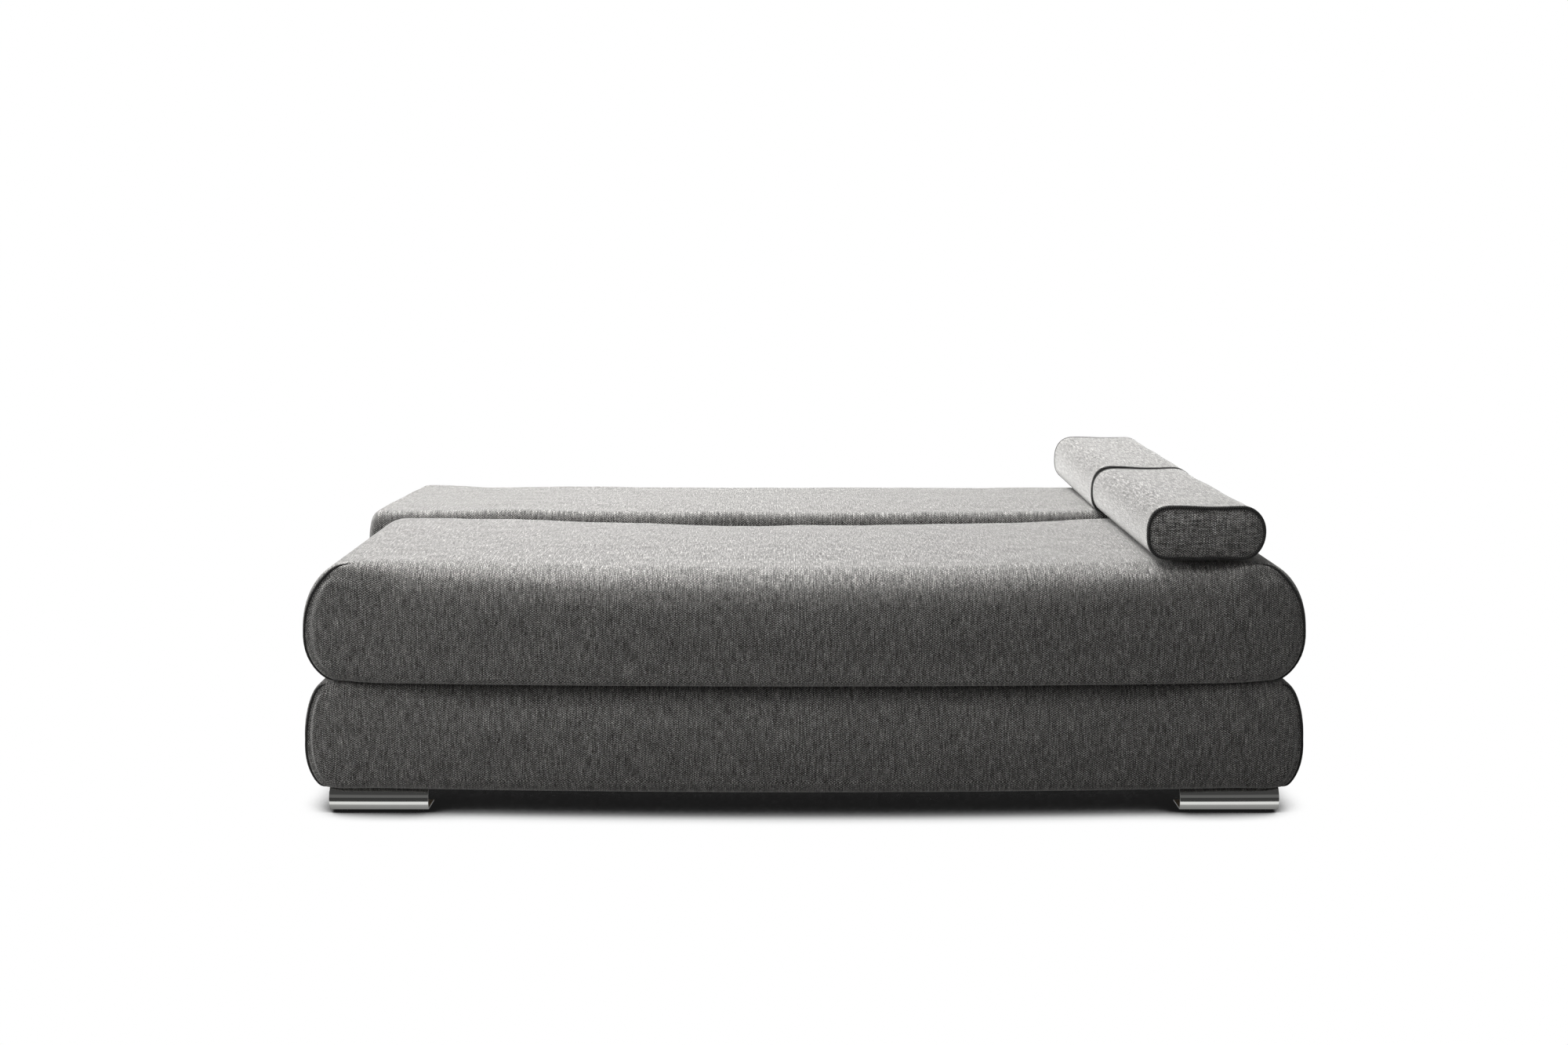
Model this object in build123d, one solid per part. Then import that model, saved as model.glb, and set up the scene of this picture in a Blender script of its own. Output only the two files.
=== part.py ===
from build123d import *
from math import cos, radians, sin, sqrt
import os

# Futon sofa bed, shown folded flat: an upholstered base box with a bedding box inside,
# a seat half that lifts, a back half that folds up, a fold-out rear stand and two loose bolsters.
# Frame: +X to the right along the front, +Y from the front to the rear, +Z up.
# Origin: on the floor, below the centre of the overall box.

# ---------------------------------------------------------------- driving dimensions, millimetres
BASE_WIDTH = 2090  # lower tier, over the piping
CUSHION_WIDTH = 2080  # upper tier, over the piping
LIE_DEPTH = 1400  # front corners to rear edge, both halves flat
SEAT_DEPTH = 700
HALF_GAP = 22  # between the two halves, at the bottom of the groove
BOW = 45  # how far the middle of the front stands ahead of its corners
BASE_DEPTH = 908

BASE_BOTTOM = 54
BASE_TOP = 278
CUSHION_BOTTOM = 282
SEAT_TOP = 534
BACK_TOP = 528

WELT = 4  # how far the piping stands proud
WELT_WIDTH = 8
COVER = 5  # cover and wadding
BOARD = 18
CLEAR = 0.3  # between soft pieces that only touch

PIVOT_Z = 406
PIVOT_SETBACK = 125  # from the inner end of a half to its pivot

BOLSTER_LENGTH = 697
BOLSTER_WIDTH = 245
BOLSTER_HEIGHT = 112
BOLSTER_X = 824

# ---------------------------------------------------------------- worked out from them
FRONT = BOW - (LIE_DEPTH + BOW) / 2  # Y of the front corners


def at(depth):
    """Y of a point that lies depth behind the front corners."""
    return FRONT + depth


BASE_HALF = BASE_WIDTH / 2 - WELT
CUSHION_HALF = CUSHION_WIDTH / 2 - WELT
BACK_START = SEAT_DEPTH + HALF_GAP
SEAT_PIVOT = SEAT_DEPTH - PIVOT_SETBACK
BACK_PIVOT = BACK_START + PIVOT_SETBACK

# Ends of the tiers: a quarter ellipse above and one below the widest height
BASE_END = {"low": BASE_BOTTOM, "wide": 160, "high": BASE_TOP, "tuck_low": 48, "tuck_high": 50}
SEAT_END = {"low": CUSHION_BOTTOM, "wide": 391, "high": SEAT_TOP, "tuck_low": 73, "tuck_high": 100}
BACK_END = {"low": CUSHION_BOTTOM, "wide": 391, "high": BACK_TOP, "tuck_low": 73, "tuck_high": 100}

# Radii of the long edges, seen from the end
SEAT_ROUNDS = {"front_top": 60, "front_low": 18, "rear_top": 80, "rear_low": 120}
BACK_ROUNDS = {"front_top": 80, "front_low": 120, "rear_top": 60, "rear_low": 18}
BASE_ROUND_TOP, BASE_ROUND_LOW = 16, 22

END_BOARD_IN = 914  # inner face of the base's end boards
FRAME_HALF = 900  # outer face of the cushion frames' side rails
FRAME_LOW = CUSHION_BOTTOM + COVER + 1
FRAME_HIGH = FRAME_LOW + 44
FRAME_SETBACK = 16  # from the cushion's outer edge to its frame
FRAME_PAST_PIVOT = 15  # where the frame ends, before the cushion's inner rounding
RAIL = 22
SPRING_WIRE = 2.0
FOAM_LOW = FRAME_HIGH + 2 * SPRING_WIRE + 1

PLATE = 4  # moving hinge plate
BRACKET = 5  # fixed hinge bracket
STRAP_WIDTH = 44
PIN_R = 6
PIN_CLEARANCE = 0.05
POCKET_IN, POCKET_OUT = 884, 920  # slot in the cushion ends that the fittings work in
POCKET_MARGIN = 30

FOOT_IN, FOOT_OUT = 786, 993
FOOT_DEPTH = 70
FOOT_SHEET = 3
FOOT_BULGE_Z = 28  # where the bowed face stands furthest out
FOOT_TUCK_LOW, FOOT_TUCK_HIGH = 6, 11  # how far it is set back at its bottom and top
FOOT_FACE = 4  # depth of a front foot's face behind the front corners
GLIDE_HEIGHT = 8
GLIDE_R = 6
GLIDE_X = (806, 966)
GLIDE_SETBACK = 24  # behind a foot's face

STAND_X = 872
STAND_DEPTH = 1300
STAND_PIVOT_Z = 262
TUBE_R = 12.5
TUBE_WALL = 2
STAND_PIN_R = 5

SCREW_R = 3
SCREW_HEAD_R = 6
BRACKET_SCREW = 18  # length under the head

SIDES = {"left": -1, "right": 1}


# ---------------------------------------------------------------- helpers
def box(x0, x1, y0, y1, z0, z1):
    """Box between two corners."""
    middle = ((x0 + x1) / 2, (y0 + y1) / 2, (z0 + z1) / 2)
    return Pos(*middle) * Box(abs(x1 - x0), abs(y1 - y0), abs(z1 - z0))


def rod_x(radius, x0, x1, y, z):
    """Cylinder along X."""
    return Pos((x0 + x1) / 2, y, z) * Rot(0, 90, 0) * Cylinder(radius, abs(x1 - x0))


def rod_z(radius, x, y, z0, z1):
    """Cylinder along Z."""
    return Pos(x, y, (z0 + z1) / 2) * Cylinder(radius, abs(z1 - z0))


def prism_y(face, y0, y1):
    """Extrude a face drawn in the XZ plane from y0 to y1."""
    return Pos(0, y1, 0) * extrude(face, amount=y1 - y0)


def prism_x(face, x0, x1):
    """Extrude a face drawn in the YZ plane from x0 to x1."""
    return Pos(x0, 0, 0) * extrude(face, amount=x1 - x0)


def group(solids):
    """Several separate solids as one node."""
    return Compound(children=list(solids))


def save(name, shape):
    """Write one node."""
    shape.label = name
    export_step(shape, f"parts/{name}.step")


# ---------------------------------------------------------------- upholstered forms
def end_outline(half, end, grow=0.0):
    """XZ outline of a tier: flat top and bottom, ends that bulge as two quarter ellipses."""
    top_x = half - end["tuck_high"]
    low_x = half - end["tuck_low"]
    top_z = end["high"] + grow
    low_z = end["low"] - grow
    up = (end["tuck_high"] + grow, end["high"] - end["wide"] + grow)
    down = (end["tuck_low"] + grow, end["wide"] - end["low"] + grow)
    with BuildSketch(Plane.XZ) as sketch:
        with BuildLine():
            Line((-low_x, low_z), (low_x, low_z))
            EllipticalCenterArc((low_x, end["wide"]), *down, start_angle=270, arc_size=90)
            EllipticalCenterArc((top_x, end["wide"]), *up, start_angle=0, arc_size=90)
            Line((top_x, top_z), (-top_x, top_z))
            EllipticalCenterArc((-top_x, end["wide"]), *up, start_angle=90, arc_size=90)
            EllipticalCenterArc((-low_x, end["wide"]), *down, start_angle=180, arc_size=90)
        make_face()
    return sketch.sketch


def bow_at(x, half, front):
    """Y of the bowed front at x: a circular arc through both corners."""
    radius = (half**2 + BOW**2) / (2 * BOW)
    return front - BOW + radius - sqrt(radius**2 - x**2)


def bowed_block(half, front, rear, low, high):
    """Block a little wider than a tier, its front face bowed forward."""
    side = half + 30
    corner = bow_at(side, half, front)
    with BuildSketch() as plan:
        with BuildLine():
            ThreePointArc((-side, corner), (0, front - BOW), (side, corner))
            Polyline((side, corner), (side, rear), (-side, rear), (-side, corner))
        make_face()
    return Pos(0, 0, low) * extrude(plan.sketch, amount=high - low)


def long_arcs(block):
    """The bowed edges of a block, lowest first."""
    arcs = block.edges().filter_by(GeomType.CIRCLE)
    return arcs.filter_by(lambda edge: edge.length > BASE_HALF).sort_by(Axis.Z)


def long_edges(block, rear):
    """The straight edges along X of a block's front or rear face, lowest first."""
    face = block.faces().sort_by(Axis.Y)[-1 if rear else 0]
    return face.edges().filter_by(Axis.X).sort_by(Axis.Z)


def rounded_block(half, front, rear, low, high, rounds, bowed):
    """Block a little wider than a cushion, with its four long edges rounded."""
    if bowed:
        block = bowed_block(half, front, rear, low, high)
        block = fillet(long_arcs(block)[-1], rounds["front_top"])
        block = fillet(long_arcs(block)[0], rounds["front_low"])
    else:
        block = box(-half - 30, half + 30, front, rear, low, high)
        block = fillet(long_edges(block, False)[-1], rounds["front_top"])
        block = fillet(long_edges(block, False)[0], rounds["front_low"])
    block = fillet(long_edges(block, True)[-1], rounds["rear_top"])
    return fillet(long_edges(block, True)[0], rounds["rear_low"])


def cushion(end, front, rear, rounds, bowed, inset=0.0):
    """Outer form of one mattress half, or that form shrunk by inset all round."""
    smaller = {name: radius - inset for name, radius in rounds.items()}
    low, high = end["low"] + inset, end["high"] - inset
    block = rounded_block(CUSHION_HALF - inset, front + inset, rear - inset, low, high, smaller, bowed)
    ends = prism_y(end_outline(CUSHION_HALF, end, -inset), front - BOW - 10, rear + 10)
    return block & ends


def welt(half, end, y0, y1, side):
    """Piping band round one end of a tier, on the outside of its outline."""
    ring = prism_y(end_outline(half, end, WELT), y0, y1)
    ring -= prism_y(end_outline(half, end, 0), y0 - 1, y1 + 1)
    inner = half - end["tuck_high"] + 10
    reach = half + 20
    return ring & box(side * inner, side * reach, y0 - 1, y1 + 1, end["low"] - 20, end["high"] + 20)


def pockets(y0, y1):
    """The two slots in a half's underside and inner end that its hinge fittings work in."""
    slot = box(POCKET_IN, POCKET_OUT, y0, y1, CUSHION_BOTTOM - 1, PIVOT_Z + POCKET_MARGIN)
    return slot + mirror(slot, about=Plane.YZ)


def half_frame(y0, y1):
    """Softwood frame of one half: four rails and a middle rail, glued into one piece."""
    frame = box(-FRAME_HALF, FRAME_HALF, y0, y1, FRAME_LOW, FRAME_HIGH)
    for side in SIDES.values():
        frame -= box(
            side * RAIL / 2, side * (FRAME_HALF - RAIL), y0 + RAIL, y1 - RAIL, FRAME_LOW - 1, FRAME_HIGH + 1
        )
    return frame


def zigzag_springs(y0, y1, count=5, bends=7, bar=60):
    """Sinuous springs that run from rail to rail, lying on the frame."""
    turn = (y1 - y0) / (2 * bends)
    z = FRAME_HIGH + SPRING_WIRE + 0.2
    springs = []
    for index in range(count):
        middle = (index - (count - 1) / 2) * 2 * (FRAME_HALF - 120) / (count - 1)
        if abs(middle) < RAIL:
            middle = bar + 2 * RAIL
        edges = []
        side = 1
        for bend in range(bends):
            y = y0 + 2 * turn * bend
            edges.append(Line((middle - side * bar / 2, y, z), (middle + side * bar / 2, y, z)))
            x = middle + side * bar / 2
            edges.append(ThreePointArc((x, y, z), (x + side * turn, y + turn, z), (x, y + 2 * turn, z)))
            side = -side
        edges.append(Line((middle - side * bar / 2, y1, z), (middle + side * bar / 2, y1, z)))
        path = Wire(edges)
        section = Plane(origin=path @ 0, z_dir=path % 0) * Circle(SPRING_WIRE)
        springs.append(sweep(section, path=path))
    return group(springs)


def make_half(name, end, front, rear, rounds, bowed, frame_y, pocket_y):
    """Cover, foam, frame, springs and lining of one mattress half."""
    slots = pockets(*pocket_y)
    frame_y0, frame_y1 = frame_y
    lining_half = POCKET_IN - 4
    lining_y0, lining_y1 = frame_y0 + 14, frame_y1 - 14
    hatch = box(-lining_half, lining_half, lining_y0, lining_y1, end["low"] - 1, end["low"] + COVER + 1)
    outer = cushion(end, front, rear, rounds, bowed)
    inner = cushion(end, front, rear, rounds, bowed, COVER)
    cover = outer - inner - hatch - slots
    save(f"{name}_cover", cover)

    filling = cushion(end, front, rear, rounds, bowed, COVER + CLEAR)
    room = FRAME_HALF + CLEAR
    filling -= box(-room, room, frame_y0 - CLEAR, frame_y1 + CLEAR, end["low"] - 5, FOAM_LOW)
    save(f"{name}_foam", filling - slots)

    save(f"{name}_frame", half_frame(frame_y0, frame_y1))
    save(f"{name}_springs", zigzag_springs(frame_y0 + RAIL / 2, frame_y1 - RAIL / 2))
    x, y0, y1 = lining_half - CLEAR, lining_y0 + CLEAR, lining_y1 - CLEAR
    save(f"{name}_lining", box(-x, x, y0, y1, end["low"] + 1, end["low"] + 3))


# ---------------------------------------------------------------- seat and back halves
def make_seat():
    """Seat half, with piping round the ends of its front."""
    frame_y = (at(FRAME_SETBACK), at(SEAT_PIVOT + FRAME_PAST_PIVOT))
    pocket_y = (at(SEAT_PIVOT - POCKET_MARGIN), at(SEAT_DEPTH + 5))
    make_half("seat", SEAT_END, at(0), at(SEAT_DEPTH), SEAT_ROUNDS, True, frame_y, pocket_y)
    for side_name, side in SIDES.items():
        save(f"seat_piping_{side_name}", welt(CUSHION_HALF, SEAT_END, at(0), at(WELT_WIDTH), side))


def make_back():
    """Back half, with piping round the ends of its rear."""
    frame_y = (at(BACK_PIVOT - FRAME_PAST_PIVOT), at(LIE_DEPTH - FRAME_SETBACK))
    pocket_y = (at(BACK_START - 5), at(BACK_PIVOT + POCKET_MARGIN))
    make_half("back", BACK_END, at(BACK_START), at(LIE_DEPTH), BACK_ROUNDS, False, frame_y, pocket_y)
    for side_name, side in SIDES.items():
        band = welt(CUSHION_HALF, BACK_END, at(LIE_DEPTH - WELT_WIDTH), at(LIE_DEPTH), side)
        save(f"back_piping_{side_name}", band)


# ---------------------------------------------------------------- base box
PAD = 20  # the front and rear pads' thickness at the corners
FLOOR_LOW, FLOOR_HIGH = 62, 67
BRACKET_LOW = 160
BRACKET_SCREW_Z = (185, 245)
FOOT_SCREW_X = (826, 896)
FRONT_BOARD = PAD + BOARD / 2  # depths of the boards' middles
REAR_BOARD = BASE_DEPTH - PAD - BOARD / 2
SCREW_HOLE_R = SCREW_R + 0.05


def foot_screw_places():
    """X and depth of every screw that holds a foot."""
    rows = (FRONT_BOARD, REAR_BOARD)
    return [(side * x, depth) for side in SIDES.values() for x in FOOT_SCREW_X for depth in rows]


def bracket_screw_places():
    """Depth and Z of the screws in the base's hinge brackets."""
    return [(depth, z) for depth in (SEAT_PIVOT, BACK_PIVOT) for z in BRACKET_SCREW_Z]


def base_boards():
    """Front, rear, end and dividing boards and the floor of the bedding box."""
    half = BOARD / 2
    for name, depth in (("front", FRONT_BOARD), ("rear", REAR_BOARD)):
        board = box(-END_BOARD_IN, END_BOARD_IN, at(depth - half), at(depth + half), BASE_BOTTOM, BASE_TOP)
        for x, screw_depth in foot_screw_places():
            if screw_depth == depth:
                board -= rod_z(SCREW_HOLE_R, x, at(depth), BASE_BOTTOM - 1, BASE_BOTTOM + 30)
        save(f"base_{name}_board", board)
    for side_name, side in SIDES.items():
        x0, x1 = side * END_BOARD_IN, side * (END_BOARD_IN + BOARD)
        board = box(x0, x1, at(PAD), at(BASE_DEPTH - PAD), BASE_BOTTOM, BASE_TOP)
        for depth, z in bracket_screw_places():
            board -= rod_x(SCREW_HOLE_R, x0 - side, x0 + side * (BRACKET_SCREW - BRACKET + 1), at(depth), z)
        save(f"base_end_board_{side_name}", board)
    y0, y1 = at(SEAT_DEPTH), at(SEAT_DEPTH + BOARD)
    save("base_divider_board", box(-END_BOARD_IN, END_BOARD_IN, y0, y1, FLOOR_HIGH, BASE_TOP))
    y0, y1 = at(FRONT_BOARD + half), at(REAR_BOARD - half)
    save("base_floor_panel", box(-END_BOARD_IN, END_BOARD_IN, y0, y1, FLOOR_LOW, FLOOR_HIGH))


def base_upholstery():
    """Padded front with a bowed face, padded ends and rear, and the piping round the front's ends."""
    block = bowed_block(BASE_HALF, at(0), at(PAD), BASE_BOTTOM, BASE_TOP)
    block = fillet(long_arcs(block)[-1], BASE_ROUND_TOP)
    block = fillet(long_arcs(block)[0], BASE_ROUND_LOW)
    outline = end_outline(BASE_HALF, BASE_END)
    save("base_front_pad", block & prism_y(outline, at(0) - BOW - 5, at(PAD) + 5))
    save("base_rear_pad", prism_y(outline, at(BASE_DEPTH - PAD), at(BASE_DEPTH)))
    ends = prism_y(outline, at(PAD), at(BASE_DEPTH - PAD))
    inner, outer = END_BOARD_IN + BOARD, BASE_HALF + 20
    for side_name, side in SIDES.items():
        cut = box(side * inner, side * outer, at(0), at(BASE_DEPTH), 0, BASE_TOP + 50)
        save(f"base_end_pad_{side_name}", ends & cut)
        save(f"base_piping_{side_name}", welt(BASE_HALF, BASE_END, at(0), at(WELT_WIDTH), side))


def foot_profile(inset):
    """YZ outline of a foot, its bowed face at y = 0 pointing to -Y, shrunk by inset on three sides."""
    low, high = GLIDE_HEIGHT + inset, BASE_BOTTOM - inset
    low_y, high_y, back = FOOT_TUCK_LOW + inset, FOOT_TUCK_HIGH + inset, FOOT_DEPTH + inset
    with BuildSketch(Plane.YZ) as sketch:
        with BuildLine():
            ThreePointArc((high_y, high), (inset, FOOT_BULGE_Z), (low_y, low))
            Polyline((low_y, low), (back, low), (back, high), (high_y, high))
        make_face()
    return sketch.sketch


def make_feet():
    """Bent sheet feet, open towards the middle, and the screws and glides on them."""
    shell = prism_x(foot_profile(0), FOOT_IN, FOOT_OUT)
    shell -= prism_x(foot_profile(FOOT_SHEET), FOOT_IN - 1, FOOT_OUT + 1)
    for x in FOOT_SCREW_X:
        shell -= rod_z(SCREW_HOLE_R, x, FRONT_BOARD - FOOT_FACE, BASE_BOTTOM - 10, BASE_BOTTOM + 1)
    glides = []
    for row, depth, turn in (("front", FOOT_FACE, 1), ("rear", BASE_DEPTH - FOOT_FACE, -1)):
        foot = shell if turn == 1 else mirror(shell, about=Plane.XZ)
        for side_name, side in SIDES.items():
            placed = foot if side == 1 else mirror(foot, about=Plane.YZ)
            save(f"foot_{row}_{side_name}", Pos(0, at(depth), 0) * placed)
            for x in GLIDE_X:
                glides.append(rod_z(GLIDE_R, side * x, at(depth + turn * GLIDE_SETBACK), 0, GLIDE_HEIGHT))
    save("foot_glides", group(glides))
    screws = []
    for x, depth in foot_screw_places():
        seat = BASE_BOTTOM - FOOT_SHEET
        shank = rod_z(SCREW_R, x, at(depth), seat, seat + 30)
        screws.append(shank + rod_z(SCREW_HEAD_R, x, at(depth), seat - 3, seat))
    save("foot_screws", group(screws))


# ---------------------------------------------------------------- hinge fittings
RATCHET_ANGLES = (5, 50, 85)  # notches for the flat, half-raised and upright back
PAWL_GAP, PAWL_HEIGHT = 0.8, 5.7


def strap(x0, x1, y, low):
    """Upright flat strap with a round top about the pivot."""
    body = box(x0, x1, y - STRAP_WIDTH / 2, y + STRAP_WIDTH / 2, low, PIVOT_Z)
    return body + rod_x(STRAP_WIDTH / 2, x0, x1, y, PIVOT_Z)


def make_bracket(side, depth, notches):
    """Fixed strap with a bore for the pin, two screw holes and notches round its top."""
    x0, x1 = side * (END_BOARD_IN - BRACKET), side * END_BOARD_IN
    through = (x0 - side, x1 + side)
    bracket = strap(x0, x1, at(depth), BRACKET_LOW)
    bracket -= rod_x(PIN_R + 0.02, *through, at(depth), PIVOT_Z)
    for z in BRACKET_SCREW_Z:
        bracket -= rod_x(SCREW_HOLE_R, *through, at(depth), z)
    for angle in notches:
        y = at(depth) - sin(radians(angle)) * STRAP_WIDTH / 2
        z = PIVOT_Z + cos(radians(angle)) * STRAP_WIDTH / 2
        bracket -= rod_x(2, *through, y, z)
    return bracket


def make_pivot_pin(side, depth):
    """Pin with a shoulder that spaces the moving plate from the bracket, and a head inside."""
    inner = END_BOARD_IN - BRACKET
    head_out = FRAME_HALF - CLEAR
    pin = rod_x(PIN_R, side * (head_out - 7), side * (END_BOARD_IN + 3), at(depth), PIVOT_Z)
    pin += rod_x(9, side * (FRAME_HALF + PLATE + CLEAR), side * inner, at(depth), PIVOT_Z)
    return pin + rod_x(10, side * (head_out - 7), side * head_out, at(depth), PIVOT_Z)


def base_fittings():
    """Fixed brackets with their pins and screws, and the buffers that the seat lies on."""
    pins, screws = [], []
    inner = END_BOARD_IN - BRACKET
    for name, depth, notches in (("seat", SEAT_PIVOT, ()), ("back", BACK_PIVOT, RATCHET_ANGLES)):
        for side_name, side in SIDES.items():
            save(f"{name}_bracket_{side_name}", make_bracket(side, depth, notches))
            pins.append(make_pivot_pin(side, depth))
            for z in BRACKET_SCREW_Z:
                shank = rod_x(SCREW_R, side * inner, side * (inner + BRACKET_SCREW), at(depth), z)
                screws.append(shank + rod_x(SCREW_HEAD_R, side * (inner - 3), side * inner, at(depth), z))
    save("pivot_pins", group(pins))
    save("bracket_screws", group(screws))
    places = [side * x for side in SIDES.values() for x in (300, 800)]
    buffers = [rod_z(7, x, at(FRONT_BOARD), BASE_TOP, CUSHION_BOTTOM - CLEAR) for x in places]
    save("seat_buffers", group(buffers))


def moving_fittings():
    """Plates on the frames' side rails that turn on the pins, their screws, and the back's pawls."""
    for name, depth in (("seat", SEAT_PIVOT), ("back", BACK_PIVOT)):
        screws = []
        for side_name, side in SIDES.items():
            plate = strap(side * FRAME_HALF, side * (FRAME_HALF + PLATE), at(depth), FRAME_LOW + 2)
            reach = (side * (FRAME_HALF - 1), side * (FRAME_HALF + PLATE + 1))
            plate -= rod_x(PIN_R + PIN_CLEARANCE, *reach, at(depth), PIVOT_Z)
            save(f"{name}_pivot_plate_{side_name}", plate)
            for offset in (-8, 8):
                outer = side * (FRAME_HALF + PLATE)
                screws.append(rod_x(5, outer, outer + side * 2.5, at(depth + offset), FRAME_LOW + 26))
        save(f"{name}_plate_screws", group(screws))
    pawls = []
    rim = PIVOT_Z + STRAP_WIDTH / 2
    y = at(BACK_PIVOT)
    for side in SIDES.values():
        x0, x1 = side * (FRAME_HALF + PLATE), side * END_BOARD_IN
        pawls.append(box(x0, x1, y - 4, y + 4, rim + PAWL_GAP, rim + PAWL_GAP + PAWL_HEIGHT))
    save("back_pawls", group(pawls))


# ---------------------------------------------------------------- rear stand
EAR_GAP = 14  # from the leg's middle to an ear
EAR = 4
EAR_R = 14
EAR_PLATE_LOW = CUSHION_BOTTOM - EAR
EAR_SCREWS = [(x, y) for x in (-24, 24) for y in (-22, 22)]
LEG_PAST_PIVOT = 8
CAP_HEIGHT, CAP_FLOOR, CAP_WALL = 24, 4, 3
STAND_CROSS_Z = 60
STAND_CROSS_R = 10
STAND_CROSS_WALL = 1.5


def stand_bracket(x, y):
    """Plate under the back half's side rail, with two ears that hold a leg's pin."""
    bracket = box(x - 32, x + 32, y - 30, y + 30, EAR_PLATE_LOW, CUSHION_BOTTOM)
    for ear in (-1, 1):
        x0, x1 = x + ear * EAR_GAP, x + ear * (EAR_GAP + EAR)
        bracket += box(x0, x1, y - EAR_R, y + EAR_R, STAND_PIVOT_Z, EAR_PLATE_LOW)
        bracket += rod_x(EAR_R, x0, x1, y, STAND_PIVOT_Z)
    for dx, dy in EAR_SCREWS:
        bracket -= rod_z(SCREW_HOLE_R, x + dx, y + dy, EAR_PLATE_LOW - 1, CUSHION_BOTTOM + 1)
    return bracket - rod_x(STAND_PIN_R + PIN_CLEARANCE, x - 30, x + 30, y, STAND_PIVOT_Z)


def stand_leg(x, y):
    """Tube that hangs from its pin down into the rubber cap."""
    top = STAND_PIVOT_Z + LEG_PAST_PIVOT
    leg = rod_z(TUBE_R, x, y, CAP_FLOOR, top) - rod_z(TUBE_R - TUBE_WALL, x, y, CAP_FLOOR - 1, top + 1)
    return leg - rod_x(STAND_PIN_R + 0.02, x - 20, x + 20, y, STAND_PIVOT_Z)


def stand_pin(x, y):
    """Pin through both ears and the leg, with a head at each end."""
    head_in = EAR_GAP + EAR + CLEAR
    pin = rod_x(STAND_PIN_R, x - head_in, x + head_in, y, STAND_PIVOT_Z)
    for ear in (-1, 1):
        pin += rod_x(8, x + ear * head_in, x + ear * (head_in + 2.7), y, STAND_PIVOT_Z)
    return pin


def make_stand():
    """Fold-out stand under the back half: brackets, two legs with caps, and the bar between them."""
    y = at(STAND_DEPTH)
    pins, caps, screws = [], [], []
    for side_name, side in SIDES.items():
        x = side * STAND_X
        save(f"stand_bracket_{side_name}", stand_bracket(x, y))
        save(f"stand_leg_{side_name}", stand_leg(x, y))
        pins.append(stand_pin(x, y))
        cap = rod_z(TUBE_R + CAP_WALL, x, y, 0, CAP_HEIGHT)
        caps.append(cap - rod_z(TUBE_R + 0.05, x, y, CAP_FLOOR, CAP_HEIGHT + 1))
        for dx, dy in EAR_SCREWS:
            shank = rod_z(SCREW_R, x + dx, y + dy, EAR_PLATE_LOW, CUSHION_BOTTOM)
            screws.append(shank + rod_z(5, x + dx, y + dy, EAR_PLATE_LOW - 2.5, EAR_PLATE_LOW))
    save("stand_pins", group(pins))
    save("stand_foot_caps", group(caps))
    save("stand_bracket_screws", group(screws))
    reach = STAND_X - TUBE_R - 0.2
    bar = rod_x(STAND_CROSS_R, -reach, reach, y, STAND_CROSS_Z)
    hollow = rod_x(STAND_CROSS_R - STAND_CROSS_WALL, -reach - 1, reach + 1, y, STAND_CROSS_Z)
    save("stand_crossbar", bar - hollow)


# ---------------------------------------------------------------- bolsters
BOLSTER_WELT = 3.5
BOLSTER_COVER = 4


def bolster_section(grow):
    """XZ outline of a bolster: an oblong with nearly round sides."""
    width, height = BOLSTER_WIDTH + 2 * grow, BOLSTER_HEIGHT + 2 * grow
    return Plane.XZ * RectangleRounded(width, height, height / 2 - 3)


def make_bolster(name, y0, rest_z):
    """Loose bolster: a cover with a zip slit underneath, a foam core and a piping ring at each end."""
    y1 = y0 + BOLSTER_LENGTH
    place = Pos(BOLSTER_X, 0, rest_z + CLEAR + BOLSTER_WELT + BOLSTER_HEIGHT / 2)
    cover = prism_y(bolster_section(0), y0, y1)
    cover -= prism_y(bolster_section(-BOLSTER_COVER), y0 + BOLSTER_COVER, y1 - BOLSTER_COVER)
    low = -BOLSTER_HEIGHT / 2
    cover -= box(-1, 1, y0 + 100, y1 - 100, low - 1, low + BOLSTER_COVER + 1)
    save(f"{name}_cover", place * cover)
    gap = BOLSTER_COVER + CLEAR
    save(f"{name}_foam", place * prism_y(bolster_section(-gap), y0 + gap, y1 - gap))
    rings = []
    for start in (y0, y1 - 2 * BOLSTER_WELT):
        ring = prism_y(bolster_section(BOLSTER_WELT), start, start + 2 * BOLSTER_WELT)
        rings.append(place * (ring - prism_y(bolster_section(0), start - 1, start + 2 * BOLSTER_WELT + 1)))
    save(f"{name}_piping", group(rings))


# ---------------------------------------------------------------- everything
os.makedirs("parts", exist_ok=True)
base_boards()
base_upholstery()
make_feet()
base_fittings()
moving_fittings()
make_seat()
make_back()
make_stand()
make_bolster("bolster_front", at(4), SEAT_TOP)
make_bolster("bolster_rear", at(LIE_DEPTH - BOLSTER_LENGTH), BACK_TOP)
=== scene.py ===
import math

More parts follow.
